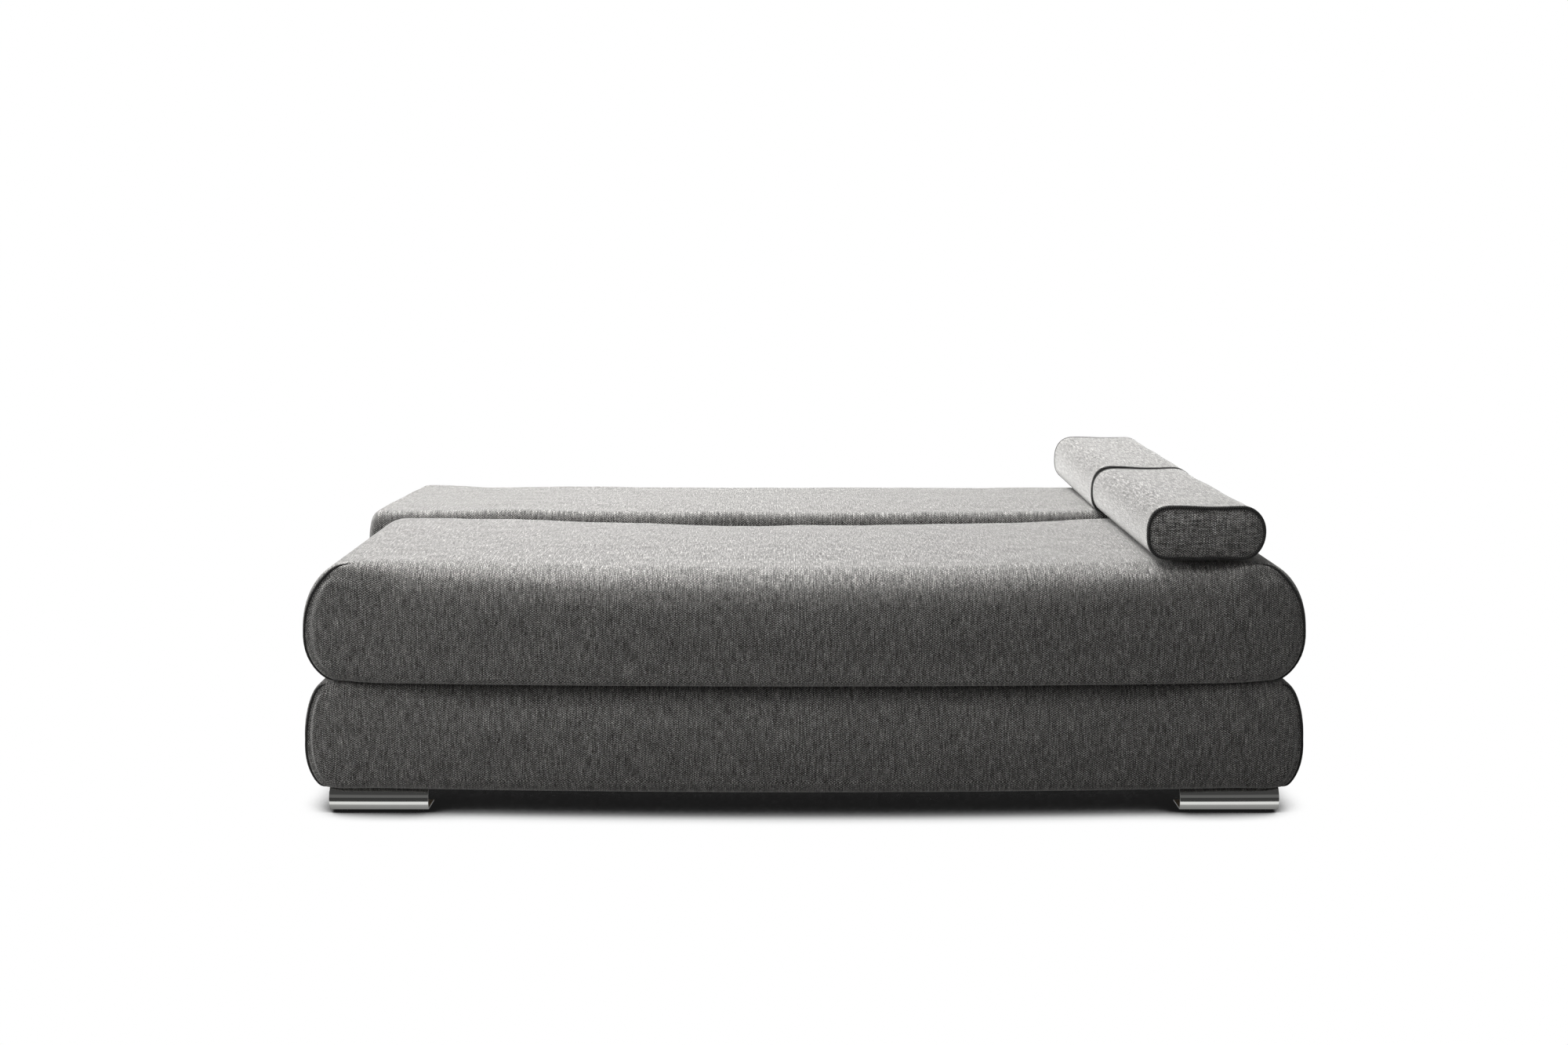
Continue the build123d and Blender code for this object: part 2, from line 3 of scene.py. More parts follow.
import bmesh
import bpy
import numpy as np
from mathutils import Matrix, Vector


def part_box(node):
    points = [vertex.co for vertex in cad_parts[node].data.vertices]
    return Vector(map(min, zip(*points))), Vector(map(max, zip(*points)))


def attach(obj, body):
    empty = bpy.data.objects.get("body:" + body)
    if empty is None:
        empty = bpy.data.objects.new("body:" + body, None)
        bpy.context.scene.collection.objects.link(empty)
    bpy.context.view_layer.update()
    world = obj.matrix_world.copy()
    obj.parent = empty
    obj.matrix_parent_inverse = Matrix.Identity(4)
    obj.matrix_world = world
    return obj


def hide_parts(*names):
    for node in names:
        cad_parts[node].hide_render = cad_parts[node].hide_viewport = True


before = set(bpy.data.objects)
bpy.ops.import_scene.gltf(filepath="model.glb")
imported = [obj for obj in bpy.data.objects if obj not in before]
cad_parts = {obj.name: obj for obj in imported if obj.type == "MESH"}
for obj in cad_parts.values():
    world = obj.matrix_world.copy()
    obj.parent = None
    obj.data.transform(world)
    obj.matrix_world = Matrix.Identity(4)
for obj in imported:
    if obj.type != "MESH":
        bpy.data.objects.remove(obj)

scene = bpy.context.scene
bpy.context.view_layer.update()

# ---------------------------------------------------------------- sizes, metres
BOW = 0.045  # how far the middle of the front stands ahead of its corners
WELT_R = 0.0029  # piping of the two tiers
BOLSTER_WELT_R = 0.0040
VALLEY = 0.0026  # depth of the dent that the tiers' piping lies in
HALF_WIDE, BASE_WIDE = 0.391, 0.160  # heights where the two tiers are widest
HALF_TURN, BASE_TURN = 0.85, 0.93  # X that the angles along their end seams are measured round
BASE_PIPED = 0.985  # X from which the base's front edge is piped
FRAMES, DRAWN_IN = 20, 0.002  # length of the Cloth simulation, and how far a cover is drawn in before it
LINING_EDGE = 0.8805  # half width of the hatch that the lining closes
RIB, TUFT = 0.00355, 0.0047  # pitch of the weave's ribs and of the tufts along them
WEAVE = "Weave"  # the UV layer in metres that the fabric is drawn in

seat_low, seat_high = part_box("seat_cover")
back_low, back_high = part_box("back_cover")
pad_low, pad_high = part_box("base_front_pad")
rear_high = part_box("base_rear_pad")[1]
FRONT = seat_low.y + BOW  # Y of the front corners


# ---------------------------------------------------------------- numbers
def smooth(t):
    """0 to 1 with flat ends."""
    t = np.clip(t, 0.0, 1.0)
    return t * t * (3 - 2 * t)


def mix(a, b, t):
    return a + (b - a) * t


def run_along(path):
    """Distance along a path of points, from its first point to each."""
    return np.concatenate([[0], np.cumsum(np.linalg.norm(np.diff(path, axis=0), axis=1))])


def waves(x, y, seed, count=7, low=0.25, high=0.9):
    """Smooth made-up unevenness, about -1 to 1, with wavelengths from low to high metres."""
    rng = np.random.default_rng(seed)
    total = np.zeros(np.broadcast(x, y).shape)
    for _ in range(count):
        angle = rng.uniform(0, math.pi)
        length = rng.uniform(low, high)
        phase = rng.uniform(0, 2 * math.pi)
        total = total + np.sin(2 * math.pi * (x * math.cos(angle) + y * math.sin(angle)) / length + phase)
    return total / count * 1.6


# ---------------------------------------------------------------- meshes
def add_mesh(name, points, faces, corner_uv=None, smooth_faces=True):
    """Mesh object from numpy points and a list of faces, with the weave's UV per face corner."""
    mesh = bpy.data.meshes.new(name)
    mesh.from_pydata([tuple(p) for p in points], [], [tuple(int(i) for i in f) for f in faces])
    if corner_uv is not None:
        layer = mesh.uv_layers.new(name=WEAVE)
        layer.uv.foreach_set("vector", np.asarray(corner_uv, np.float32).ravel())
    mesh.validate()
    mesh.update()
    if smooth_faces:
        mesh.polygons.foreach_set("use_smooth", [True] * len(mesh.polygons))
    obj = bpy.data.objects.new(name, mesh)
    scene.collection.objects.link(obj)
    return obj


def apply_modifiers(obj):
    """Replaces the object's mesh with what its modifiers make of it."""
    graph = bpy.context.evaluated_depsgraph_get()
    made = bpy.data.meshes.new_from_object(obj.evaluated_get(graph), preserve_all_data_layers=True, depsgraph=graph)
    obj.modifiers.clear()
    old = obj.data
    obj.data = made
    bpy.data.meshes.remove(old)


def subdivide(obj):
    """One level of Catmull-Clark subdivision, applied."""
    modifier = obj.modifiers.new("subdivide", "SUBSURF")
    modifier.levels = modifier.render_levels = 1
    apply_modifiers(obj)


def block(low, high):
    """Plain box that is only used to cut with."""
    xs, ys, zs = zip(low, high)
    corners = [(x, y, z) for x in xs for y in ys for z in zs]
    faces = [(0, 1, 3, 2), (4, 6, 7, 5), (0, 4, 5, 1), (2, 3, 7, 6), (0, 2, 6, 4), (1, 5, 7, 3)]
    return add_mesh("cutter", np.array(corners), faces, smooth_faces=False)


def cut(obj, boxes, wall):
    """Cuts boxes out of a closed mesh; the walls of the cuts get the material wall."""
    for low, high in boxes:
        cutter = block(low, high)
        cutter.data.materials.append(wall)
        modifier = obj.modifiers.new("cut", "BOOLEAN")
        modifier.operation = "DIFFERENCE"
        modifier.solver = "EXACT"
        modifier.material_mode = "TRANSFER"
        modifier.object = cutter
        apply_modifiers(obj)
        bpy.data.objects.remove(cutter)


def tube(name, path, radii, closed=False, sides=12):
    """Round cord along a path of points, with the weave's ribs along it."""
    path = np.asarray(path, float)
    radii = np.broadcast_to(np.asarray(radii, float), (len(path),))
    ahead = np.roll(path, -1, 0) - np.roll(path, 1, 0)
    if not closed:
        ahead[0], ahead[-1] = path[1] - path[0], path[-1] - path[-2]
    ahead /= np.linalg.norm(ahead, axis=1)[:, None]
    side = np.cross(ahead, np.array([0.0, 1.0, 0.0]))
    side /= np.linalg.norm(side, axis=1)[:, None]
    up = np.cross(side, ahead)
    angle = np.linspace(0, 2 * math.pi, sides, endpoint=False)
    ring = np.cos(angle)[None, :, None] * side[:, None] + np.sin(angle)[None, :, None] * up[:, None]
    points = (path[:, None] + ring * radii[:, None, None]).reshape(-1, 3)
    run = run_along(path)
    faces, uvs = [], []
    count = len(path)
    last = count if closed else count - 1
    length = run[-1] + (np.linalg.norm(path[0] - path[-1]) if closed else 0)
    around = 2 * math.pi * WELT_R / sides
    for j in range(last):
        k = (j + 1) % count
        v0, v1 = run[j], run[k] if k else length
        for i in range(sides):
            n = (i + 1) % sides
            faces.append((j * sides + i, k * sides + i, k * sides + n, j * sides + n))
            u0, u1 = i * around, (i + 1) * around
            uvs += [(u0, -v0), (u0, -v1), (u1, -v1), (u1, -v0)]
    if not closed:
        for j, order in ((0, range(sides)), (count - 1, range(sides - 1, -1, -1))):
            faces.append([j * sides + i for i in order])
            uvs += [(i * around, -run[j]) for i in order]
    return outward(add_mesh(name, points, faces, uvs))


def outward(obj):
    """Turns all faces of a closed mesh outwards."""
    shape = bmesh.new()
    shape.from_mesh(obj.data)
    bmesh.ops.recalc_face_normals(shape, faces=shape.faces)
    if shape.calc_volume(signed=True) < 0:
        bmesh.ops.reverse_faces(shape, faces=shape.faces)
    shape.to_mesh(obj.data)
    shape.free()
    return obj


# ---------------------------------------------------------------- upholstered forms
def quarter(width, height, power, count):
    """Quarter of a superellipse from its top (0, height) to its side (width, 0), closer where it bends more.

    Power 2 gives an ellipse, more gives a squarer corner.
    """
    t = np.linspace(0, math.pi / 2, 800)
    x, z = width * np.sin(t) ** (2 / power), height * np.abs(np.cos(t)) ** (2 / power)
    dx, dz = np.diff(x), np.diff(z)
    run = np.concatenate([[0], np.cumsum(np.hypot(dx, dz))])
    bend = np.concatenate([[0, 0], np.cumsum(np.abs(np.diff(np.arctan2(dz, dx))))])
    at = 0.55 * run / run[-1] + 0.45 * bend / bend[-1]
    wanted = np.linspace(0, 1, count + 1)
    return np.interp(wanted, at, x), np.interp(wanted, at, z)


class Outline:
    """Closed XZ loop of a tier or bolster, ordered top left, top, right, bottom, left, as a cap's grid needs."""

    def __init__(self, half, low, wide, high, tuck_low, tuck_high, flat_top, flat_low,
                 arc=(14, 12), corner=(5, 5), square=(2.0, 2.0)):
        def half_loop(power):
            top_x, low_x = half - tuck_high, half - tuck_low
            over_x, over_z = quarter(tuck_high, high - wide, power, arc[0])
            under_x, under_z = quarter(tuck_low, wide - low, power, arc[1])
            x = np.concatenate([
                np.asarray(flat_top) * top_x,
                top_x + over_x[1:],
                low_x + under_x[::-1][1:],
                np.asarray(flat_low)[::-1][1:] * low_x,
            ])
            z = np.concatenate([
                np.full(len(flat_top), high),
                wide + over_z[1:],
                wide - under_z[::-1][1:],
                np.full(len(flat_low) - 1, low),
            ])
            return x, z

        sides = {side: half_loop(power) for side, power in zip((-1, 1), square)}
        middle = len(sides[1][0]) - 1
        first = len(flat_top) - 1 + corner[0]
        second = middle - (len(flat_low) - 1) - corner[1]
        self.columns, self.rows = 2 * first, second - first
        assert middle - second == first
        left = list(range(first, 0, -1))
        right = list(range(0, middle + 1))
        back = list(range(middle - 1, first, -1))
        order = [(-1, i) for i in left] + [(1, i) for i in right] + [(-1, i) for i in back]
        self.x = np.array([side * sides[side][0][i] for side, i in order])
        self.z = np.array([sides[side][1][i] for side, i in order])
        self.count = len(order)
        dx, dz = np.roll(self.x, -1) - np.roll(self.x, 1), np.roll(self.z, -1) - np.roll(self.z, 1)
        size = np.hypot(dx, dz)
        self.nx, self.nz = -dz / size, dx / size
        step = np.hypot(np.diff(self.x, append=self.x[0]), np.diff(self.z, append=self.z[0]))
        run = np.concatenate([[0], np.cumsum(step)])
        self.run = run - run[first]  # 0 at the middle of the top
        self.perimeter = run[-1]
        self.bottom = first + middle  # index of the middle of the bottom

    def cap_index(self):
        """Loop index of each boundary point of a cap's grid, -1 inside."""
        a, b = self.columns, self.rows
        grid = np.full((b + 1, a + 1), -1)
        grid[0, :] = np.arange(a + 1)
        grid[:, a] = a + np.arange(b + 1)
        grid[b, :] = a + b + a - np.arange(a + 1)
        grid[:, 0] = (2 * a + b + b - np.arange(b + 1)) % self.count
        return grid


def coons(top, bottom, left, right):
    """Fills the inside of four boundary curves; top and bottom run left to right, left and right top to bottom."""
    a, b = len(top) - 1, len(left) - 1
    u, v = np.linspace(0, 1, a + 1)[None, :, None], np.linspace(0, 1, b + 1)[:, None, None]
    corners = (1 - u) * (1 - v) * top[0] + u * (1 - v) * top[-1] + (1 - u) * v * bottom[0] + u * v * bottom[-1]
    return (1 - v) * top[None] + v * bottom[None] + (1 - u) * left[:, None] + u * right[:, None] - corners


def soft_form(name, outline, rings, ring_v, caps, place, around=False):
    """Closed form: rings of points round an outline, from one end to the other, with a cap grid at each end.

    rings: (stations, points, 3) in x, depth, z. ring_v: the weave's coordinate along the depth.
    caps: for each end a function (grid of points) -> (grid of points, weave v).
    place: function that turns x, depth, z into the row frame. around: the ribs run round the form, not along it.
    """
    stations, count = rings.shape[:2]
    points = [rings.reshape(-1, 3)]
    faces, uvs = [], []
    run, perimeter, bottom = outline.run, outline.perimeter, outline.bottom
    for j in range(stations - 1):
        for i in range(count):
            n = (i + 1) % count
            faces.append((j * count + i, j * count + n, (j + 1) * count + n, (j + 1) * count + i))
            shift = perimeter if i >= bottom else 0.0
            a, b = run[i] - shift, run[i + 1] - shift
            corners = [(a, ring_v[j, i]), (b, ring_v[j, n]), (b, ring_v[j + 1, n]), (a, ring_v[j + 1, i])]
            uvs += [corner[::-1] for corner in corners] if around else corners
    base = stations * count
    index = outline.cap_index()
    for station, cap in ((0, caps[0]), (stations - 1, caps[1])):
        ring = rings[station]
        grid = coons(ring[index[0]], ring[index[-1]], ring[index[:, 0]], ring[index[:, -1]])
        grid, v = cap(grid)
        ids = np.where(index >= 0, index + station * count, -1)
        inside = np.argwhere(index < 0)
        for row, column in inside:
            ids[row, column] = base
            base += 1
        points.append(grid[index < 0])
        rows, columns = index.shape
        for r in range(rows - 1):
            for c in range(columns - 1):
                quad = [(r, c), (r + 1, c), (r + 1, c + 1), (r, c + 1)]
                if station:
                    quad.reverse()
                faces.append([ids[q] for q in quad])
                uvs += [(grid[q][0], v[q]) for q in quad]
    points = np.concatenate(points)
    return outward(add_mesh(name, place(points), faces, uvs))


def weave_down(ring, ring_v, grid, corner=5):
    """Weave coordinate of a front panel, going on from that of the rounding above it."""
    columns = np.arange(grid.shape[1])
    shift = (ring_v - ring[:, 2])[columns]
    return shift[np.clip(columns, corner, len(columns) - 1 - corner)] + grid[..., 2]


def spread(start, end, step, *exact):
    """Fractions or depths from start to end about step apart, with pairs round each exact value."""
    values = list(np.linspace(start, end, max(2, round((end - start) / step) + 1)))
    for value, gap in exact:
        values = [v for v in values if abs(v - value) > 2.2 * gap]
        values += [value - gap, value + gap]
    return np.array(sorted(values))


def snapped(values, target, gap):
    """The same number of values, with the two nearest moved to target - gap and target + gap."""
    values = np.array(values, float)
    k = int(np.searchsorted(values, target))
    k = min(max(k, 1), len(values) - 2)
    values[k - 1], values[k] = target - gap, target + gap
    return values


def bow_at(x, half, bow):
    """How far a bowed front stands ahead of its corners."""
    if not bow:
        return np.zeros_like(x)
    radius = (half**2 + bow**2) / (2 * bow)
    return np.sqrt(radius**2 - x**2) - (radius - bow)


# ---------------------------------------------------------------- piped edges
def piped_edge(x, z, nx, nz, face, radius, seam, valley):
    """Rings that round a form from its front panel (first) to its side (last), with a sunk seam between them.

    radius: rounding. seam: angle of the seam on it, from 0, on the panel, to 90 degrees, on the side.
    valley: depth of the dent that the piping lies in. Returns rings, weave depths, and the seam's place and outward
    direction.
    """
    rest = math.pi / 2 - seam
    steps = [(0, 0.0), (0.45, 0.0), (0.74, 0.0), (0.90, 0.25), (1, 1.0)]
    more = [(0.13, 0.25), (0.36, 0.0), (0.68, 0.0), (1, 0.0)]
    angles = [(seam * t, d) for t, d in steps] + [(seam + rest * t, d) for t, d in more]
    rings, depths = [], []
    for phi, dent in angles:
        inset = radius * (1 - np.sin(phi)) + dent * valley * np.sin(phi)
        ahead = radius * (1 - np.cos(phi)) + dent * valley * np.cos(phi)
        rings.append(np.stack([x - nx * inset, face + ahead, z - nz * inset], 1))
        depths.append(face + radius * (1 - (math.pi / 2 - phi)))
    inset, ahead = radius * (1 - np.sin(seam)), radius * (1 - np.cos(seam))
    at = np.stack([x - nx * inset, face + ahead, z - nz * inset], 1)
    outward_way = np.stack([nx * np.sin(seam), -np.cos(seam), nz * np.sin(seam)], 1)
    return rings, depths, at, outward_way


def rise(distance, width, power=2.2):
    """0 at a seam, 1 from width on, steepest at the seam."""
    return 1 - (1 - np.clip(distance / width, 0, 1)) ** power


def distance_to(px, pz, xs, zs):
    """Distance in XZ from each point to the nearest of some others."""
    gap = (np.asarray(px)[..., None] - xs) ** 2 + (np.asarray(pz)[..., None] - zs) ** 2
    return np.sqrt(gap.min(-1))


def within(grid):
    """True at the points of a cap's grid that aren't on its boundary."""
    mask = np.zeros(grid.shape[:2], bool)
    mask[1:-1, 1:-1] = True
    return mask


def off_seam(points, seam_points):
    """0 at a piped seam, where the cover is held, 1 from 54 mm off it."""
    gap = np.sqrt(((points[:, None, :] - seam_points[None, ::2]) ** 2).sum(-1).min(1))
    return rise(gap - 0.004, 0.05, 1.5)


def welt_line(outline, keep, side, turn, seam_at, seam_way, count):
    """Path of a piping and its outward direction, through the seam points in keep, from the top end down.

    side: -1 left, 1 right. turn: the x and z that the points are ordered round.
    """
    keep.sort(key=lambda i: -math.atan2(outline.z[i] - turn[1] + 1e-9, side * outline.x[i] - turn[0]))
    at, known = np.linspace(0, len(keep) - 1, count), range(len(keep))
    return [np.stack([np.interp(at, known, of[keep, k]) for k in range(3)], 1) for of in (seam_at, seam_way)]


def swell(obj, free, pressure, cap):
    """Cloth simulation that lets the cover take up its filling's pressure.

    free: 0 where the cover is held, 1 where not. cap: furthest that a point may end from where it starts, which is
    drawn in a little, so that the size stays.
    """
    mesh = obj.data
    count = len(mesh.vertices)
    start = np.empty(count * 3, np.float32)
    mesh.vertices.foreach_get("co", start)
    start = start.reshape(-1, 3)
    normal = np.empty(count * 3, np.float32)
    mesh.vertices.foreach_get("normal", normal)
    normal = normal.reshape(-1, 3)
    drawn_in = start - normal * (DRAWN_IN * free)[:, None]
    mesh.vertices.foreach_set("co", drawn_in.astype(np.float32).ravel())
    mesh.update()
    held = obj.vertex_groups.new(name="held")
    level = np.round((1 - free) * 20).astype(int)
    for value in range(1, 21):
        ids = np.nonzero(level == value)[0].tolist()
        if ids:
            held.add(ids, value / 20, "REPLACE")
    cloth = obj.modifiers.new("cloth", "CLOTH")
    cover = cloth.settings
    cover.vertex_group_mass = "held"
    cover.use_pressure, cover.uniform_pressure_force = True, pressure
    cover.effector_weights.gravity = 0.0
    cover.tension_stiffness = cover.compression_stiffness = 60.0
    cover.shear_stiffness, cover.bending_stiffness = 20.0, 3.0
    cover.quality = 5
    cloth.collision_settings.use_collision = False
    cloth.point_cache.frame_start, cloth.point_cache.frame_end = 1, FRAMES
    for frame_number in range(1, FRAMES + 1):
        scene.frame_set(frame_number)
    graph = bpy.context.evaluated_depsgraph_get()
    made = obj.evaluated_get(graph).to_mesh()
    end = np.empty(count * 3, np.float32)
    made.vertices.foreach_get("co", end)
    obj.evaluated_get(graph).to_mesh_clear()
    obj.modifiers.clear()
    obj.vertex_groups.clear()
    scene.frame_set(1)
    out = ((end.reshape(-1, 3) - drawn_in) * normal).sum(1)
    out = cap * np.tanh(out / cap)
    mesh.vertices.foreach_set("co", (drawn_in + normal * out[:, None]).astype(np.float32).ravel())
    mesh.update()


# ---------------------------------------------------------------- one mattress half
# how far inside the outline the piping lies, by the angle round the end from the dart (60) to the underside (-37)
SEAM_ANGLE = (-30, -22, -16, -8, 0, 7, 15, 29, 36, 42, 48, 53, 60)
SEAM_INSET = (0.6, 0.8, 1.6, 4.6, 7.0, 8.2, 9.0, 10.2, 10.2, 8.8, 5.8, 4.0, 3.6)
DART_X = 0.931
CROWN, CROWN_WIDTH = 0.008, 0.032  # how far, and over what distance, a panel rises from its piping


def make_half(name, low, high, sign, bow, sag, seed, bulge, tucks, power, inner):
    """Cushion of one half. Depth runs from the piped outer edge (0) to the inner end that faces the other half.

    bulge: how far the sides bulge past the CAD box's edge. tucks, power: width of the lower and upper side roundings
    and their squareness. inner: rounding of the inner end at its top, at its bottom and at its sides.
    """
    half = high.x + bulge
    length = high.y - low.y - bow
    bottom, top, wide = low.z, high.z, HALF_WIDE
    tuck_low, tuck_high = tucks
    inner_top_r, inner_low_r, inner_side = inner
    low_x = half - tuck_low
    flat = 58
    flat_top = np.linspace(0, 1, flat + 1)
    flat_low = snapped(flat_top * low_x, LINING_EDGE, 0.001) / low_x
    outline = Outline(half, bottom, wide, top, tuck_low, tuck_high, flat_top, flat_low, square=(power, power))
    x, z, nx, nz = outline.x, outline.z, outline.nx, outline.nz

    # outer edge: rounded into the piped seam at the ends, a wide waterfall over the middle of the top
    wide_x = np.abs(x)
    on_top, under = np.clip(nz, 0, 1), np.clip(-nz, 0, 1)
    radius = 0.018 + 0.012 * smooth((0.995 - wide_x) / 0.06) * on_top**2
    radius = radius + 0.046 * smooth((0.950 - wide_x) / 0.12) * (nz > 0.5)
    radius = radius - 0.006 * under**4 * smooth((0.95 - wide_x) / 0.1)
    angle = np.degrees(np.arctan2(z - wide, wide_x - HALF_TURN))
    inset = np.interp(angle, SEAM_ANGLE, SEAM_INSET) / 1000
    seam = np.arcsin(np.clip(1 - inset / radius, 0.25, 0.97))
    piped = smooth((wide_x - DART_X + 0.012) / 0.014)
    seam = mix(math.radians(45), seam, smooth((wide_x - 0.80) / 0.1))
    face = -bow_at(x, half, bow) + 0.005
    pipe_x, pipe_z = x[wide_x > DART_X], z[wide_x > DART_X]
    face = face - CROWN * rise(distance_to(x, z, pipe_x, pipe_z), CROWN_WIDTH)
    rings, ring_v, seam_at, seam_way = piped_edge(x, z, nx, nz, face, radius, seam, VALLEY * piped)

    # the flat stretch
    lining_end = length - 0.110 - 0.014
    depths = spread(0.046, lining_end, 0.0155, (0.030, 0.001), (lining_end, 0.001))
    depths = np.array([0.029, 0.031] + [d for d in depths if d > 0.04])
    outer_end = face + radius
    for depth in depths:
        # behind a wide rounding the first rings crowd up, so that none folds back
        at = np.maximum(depth, outer_end + (depth - 0.026) * 0.35)
        rings.append(np.stack([x, at, z], 1))
        ring_v.append(at)

    # inner end: the section closes in towards a narrow strip
    inner_r = mix(inner_low_r, inner_top_r, (z - bottom) / (top - bottom))
    cap_z = mix(bottom + inner_low_r, top - inner_top_r, (z - bottom) / (top - bottom))
    cap_x = x - np.sign(x) * inner_side * np.abs(nx) ** 1.5
    start = length - inner_r
    for part in (0.34, 0.67):
        depth = mix(depths[-1], start, part)
        rings.append(np.stack([x, depth, z], 1))
        ring_v.append(depth)
    for phi in np.linspace(0, math.pi / 2, 11):
        t = 1 - math.cos(phi)
        depth = length - inner_r * (1 - math.sin(phi))
        rings.append(np.stack([x + (cap_x - x) * t, depth, z + (cap_z - z) * t], 1))
        ring_v.append(start + inner_r * phi)
    rings, ring_v = np.array(rings), np.array(ring_v)

    # softness: the top falls towards the inner edge's middle and lies a little unevenly
    def soften(px, pd, pz):
        upper = smooth((pz - wide) / (top - wide))
        across = np.clip(1 - (px / 0.84) ** 2, 0, 1) ** 1.35
        along = mix(0.55, 1.0, smooth((pd - 0.20) / (length - 0.28)))
        broad = np.clip(1 - (px / 1.0) ** 2, 0, 1)
        lift = -sag * across * along - 0.008 * smooth((0.28 - pd) / 0.28) * broad
        if sign < 0:  # the back half stands proud where the halves meet, and its far corners hang
            lift = lift + 0.010 * smooth((pd - 0.22) / (length - 0.30))
            lift = lift - 0.008 * smooth((0.26 - pd) / 0.24) * smooth((np.abs(px) - 0.60) / 0.30)
        loose = smooth((half - np.abs(px)) / 0.25) * smooth((pd + bow) / 0.12)
        uneven = 0.0026 * waves(px, pd, seed) + 0.0010 * waves(px, pd, seed + 1, 9, 0.07, 0.22)
        return upper * (lift + uneven * loose)

    px, pd = rings[..., 0], rings[..., 1]
    rings[..., 2] += soften(px, pd, rings[..., 2])

    # recess for the lining underneath
    flat_bottom = (np.abs(rings[..., 2] - bottom) < 1e-6) & (np.abs(px) < LINING_EDGE)
    flat_bottom &= (pd > 0.0305) & (pd < lining_end - 0.0005)
    rings[..., 2] = np.where(flat_bottom, bottom + 0.0045, rings[..., 2])

    def outer_cap(grid):
        v = np.linspace(0, 1, len(grid))[:, None]
        gx, gz = grid[..., 0], grid[..., 2]
        uneven = waves(gx, gz * 2, seed + 5, low=0.35, high=1.1)
        out = -bow_at(gx, half, bow) + 0.005
        dist = distance_to(gx, gz, pipe_x, pipe_z)
        belly = np.sin(math.pi * v) ** 2 * (0.003 + 0.0014 * uneven) * rise(dist, 0.12)
        grid[..., 1] = np.where(within(grid), out - CROWN * rise(dist, CROWN_WIDTH) - belly, grid[..., 1])
        return grid, weave_down(rings[0], ring_v[0], grid)

    def inner_cap(grid):
        grid[1:-1, 1:-1, 1] += 0.001
        return grid, length + 0.1 - grid[..., 2]

    origin = low.y + bow if sign > 0 else high.y

    def place(points):
        return np.stack([points[:, 0], origin + sign * points[:, 1], points[:, 2]], 1)

    obj = soft_form(name, outline, rings, ring_v, (outer_cap, inner_cap), place)

    # the cover is held at the seams, underneath, where a bolster presses on it and where the halves meet
    points = np.array([v.co for v in obj.data.vertices])
    depth = (points[:, 1] - origin) * sign
    free = off_seam(points, place(seam_at[wide_x > DART_X]))
    free *= smooth((points[:, 2] - bottom - 0.02) / 0.05) * smooth((length - 0.03 - depth) / 0.08)
    free *= mix(1.0, 0.25, smooth((np.abs(points[:, 0]) - 0.70) / 0.2) * smooth((depth - 0.01) / 0.03))
    swell(obj, free, pressure=0.15, cap=0.005)

    # piping along the corner seam of each end, running out in a dart on top
    welts = []
    for side_name, side in (("left", -1), ("right", 1)):
        in_place = (side * x > DART_X - 0.004) & ~((z < bottom + 0.001) & (wide_x < 0.955))
        keep = np.nonzero(in_place)[0].tolist()
        line, way = welt_line(outline, keep, side, (HALF_TURN, wide), seam_at, seam_way, 110)
        line[:, 2] += soften(line[:, 0], line[:, 1], line[:, 2])
        run = run_along(line)
        dart = smooth(run / 0.040)
        tail = smooth((run[-1] - run) / 0.030)
        lift = 0.0002 - 0.0022 * (1 - dart) - 0.004 * (1 - tail)
        welt = tube(f"{name}_welt_{side_name}", place(line + way * lift[:, None]), WELT_R * (0.30 + 0.70 * dart))
        welts.append(welt)
    return obj, welts


# ---------------------------------------------------------------- base
BASE_SEAMS = (-0.622, -0.208, 0.208, 0.622)
BASE_SEAM_ANGLE = (-48, -30, -12, 0, 20, 40, 52)
BASE_SEAM_INSET = (0.6, 1.2, 4.5, 7.0, 8.2, 7.0, 5.5)
BASE_CROWN_WIDTH = 0.034


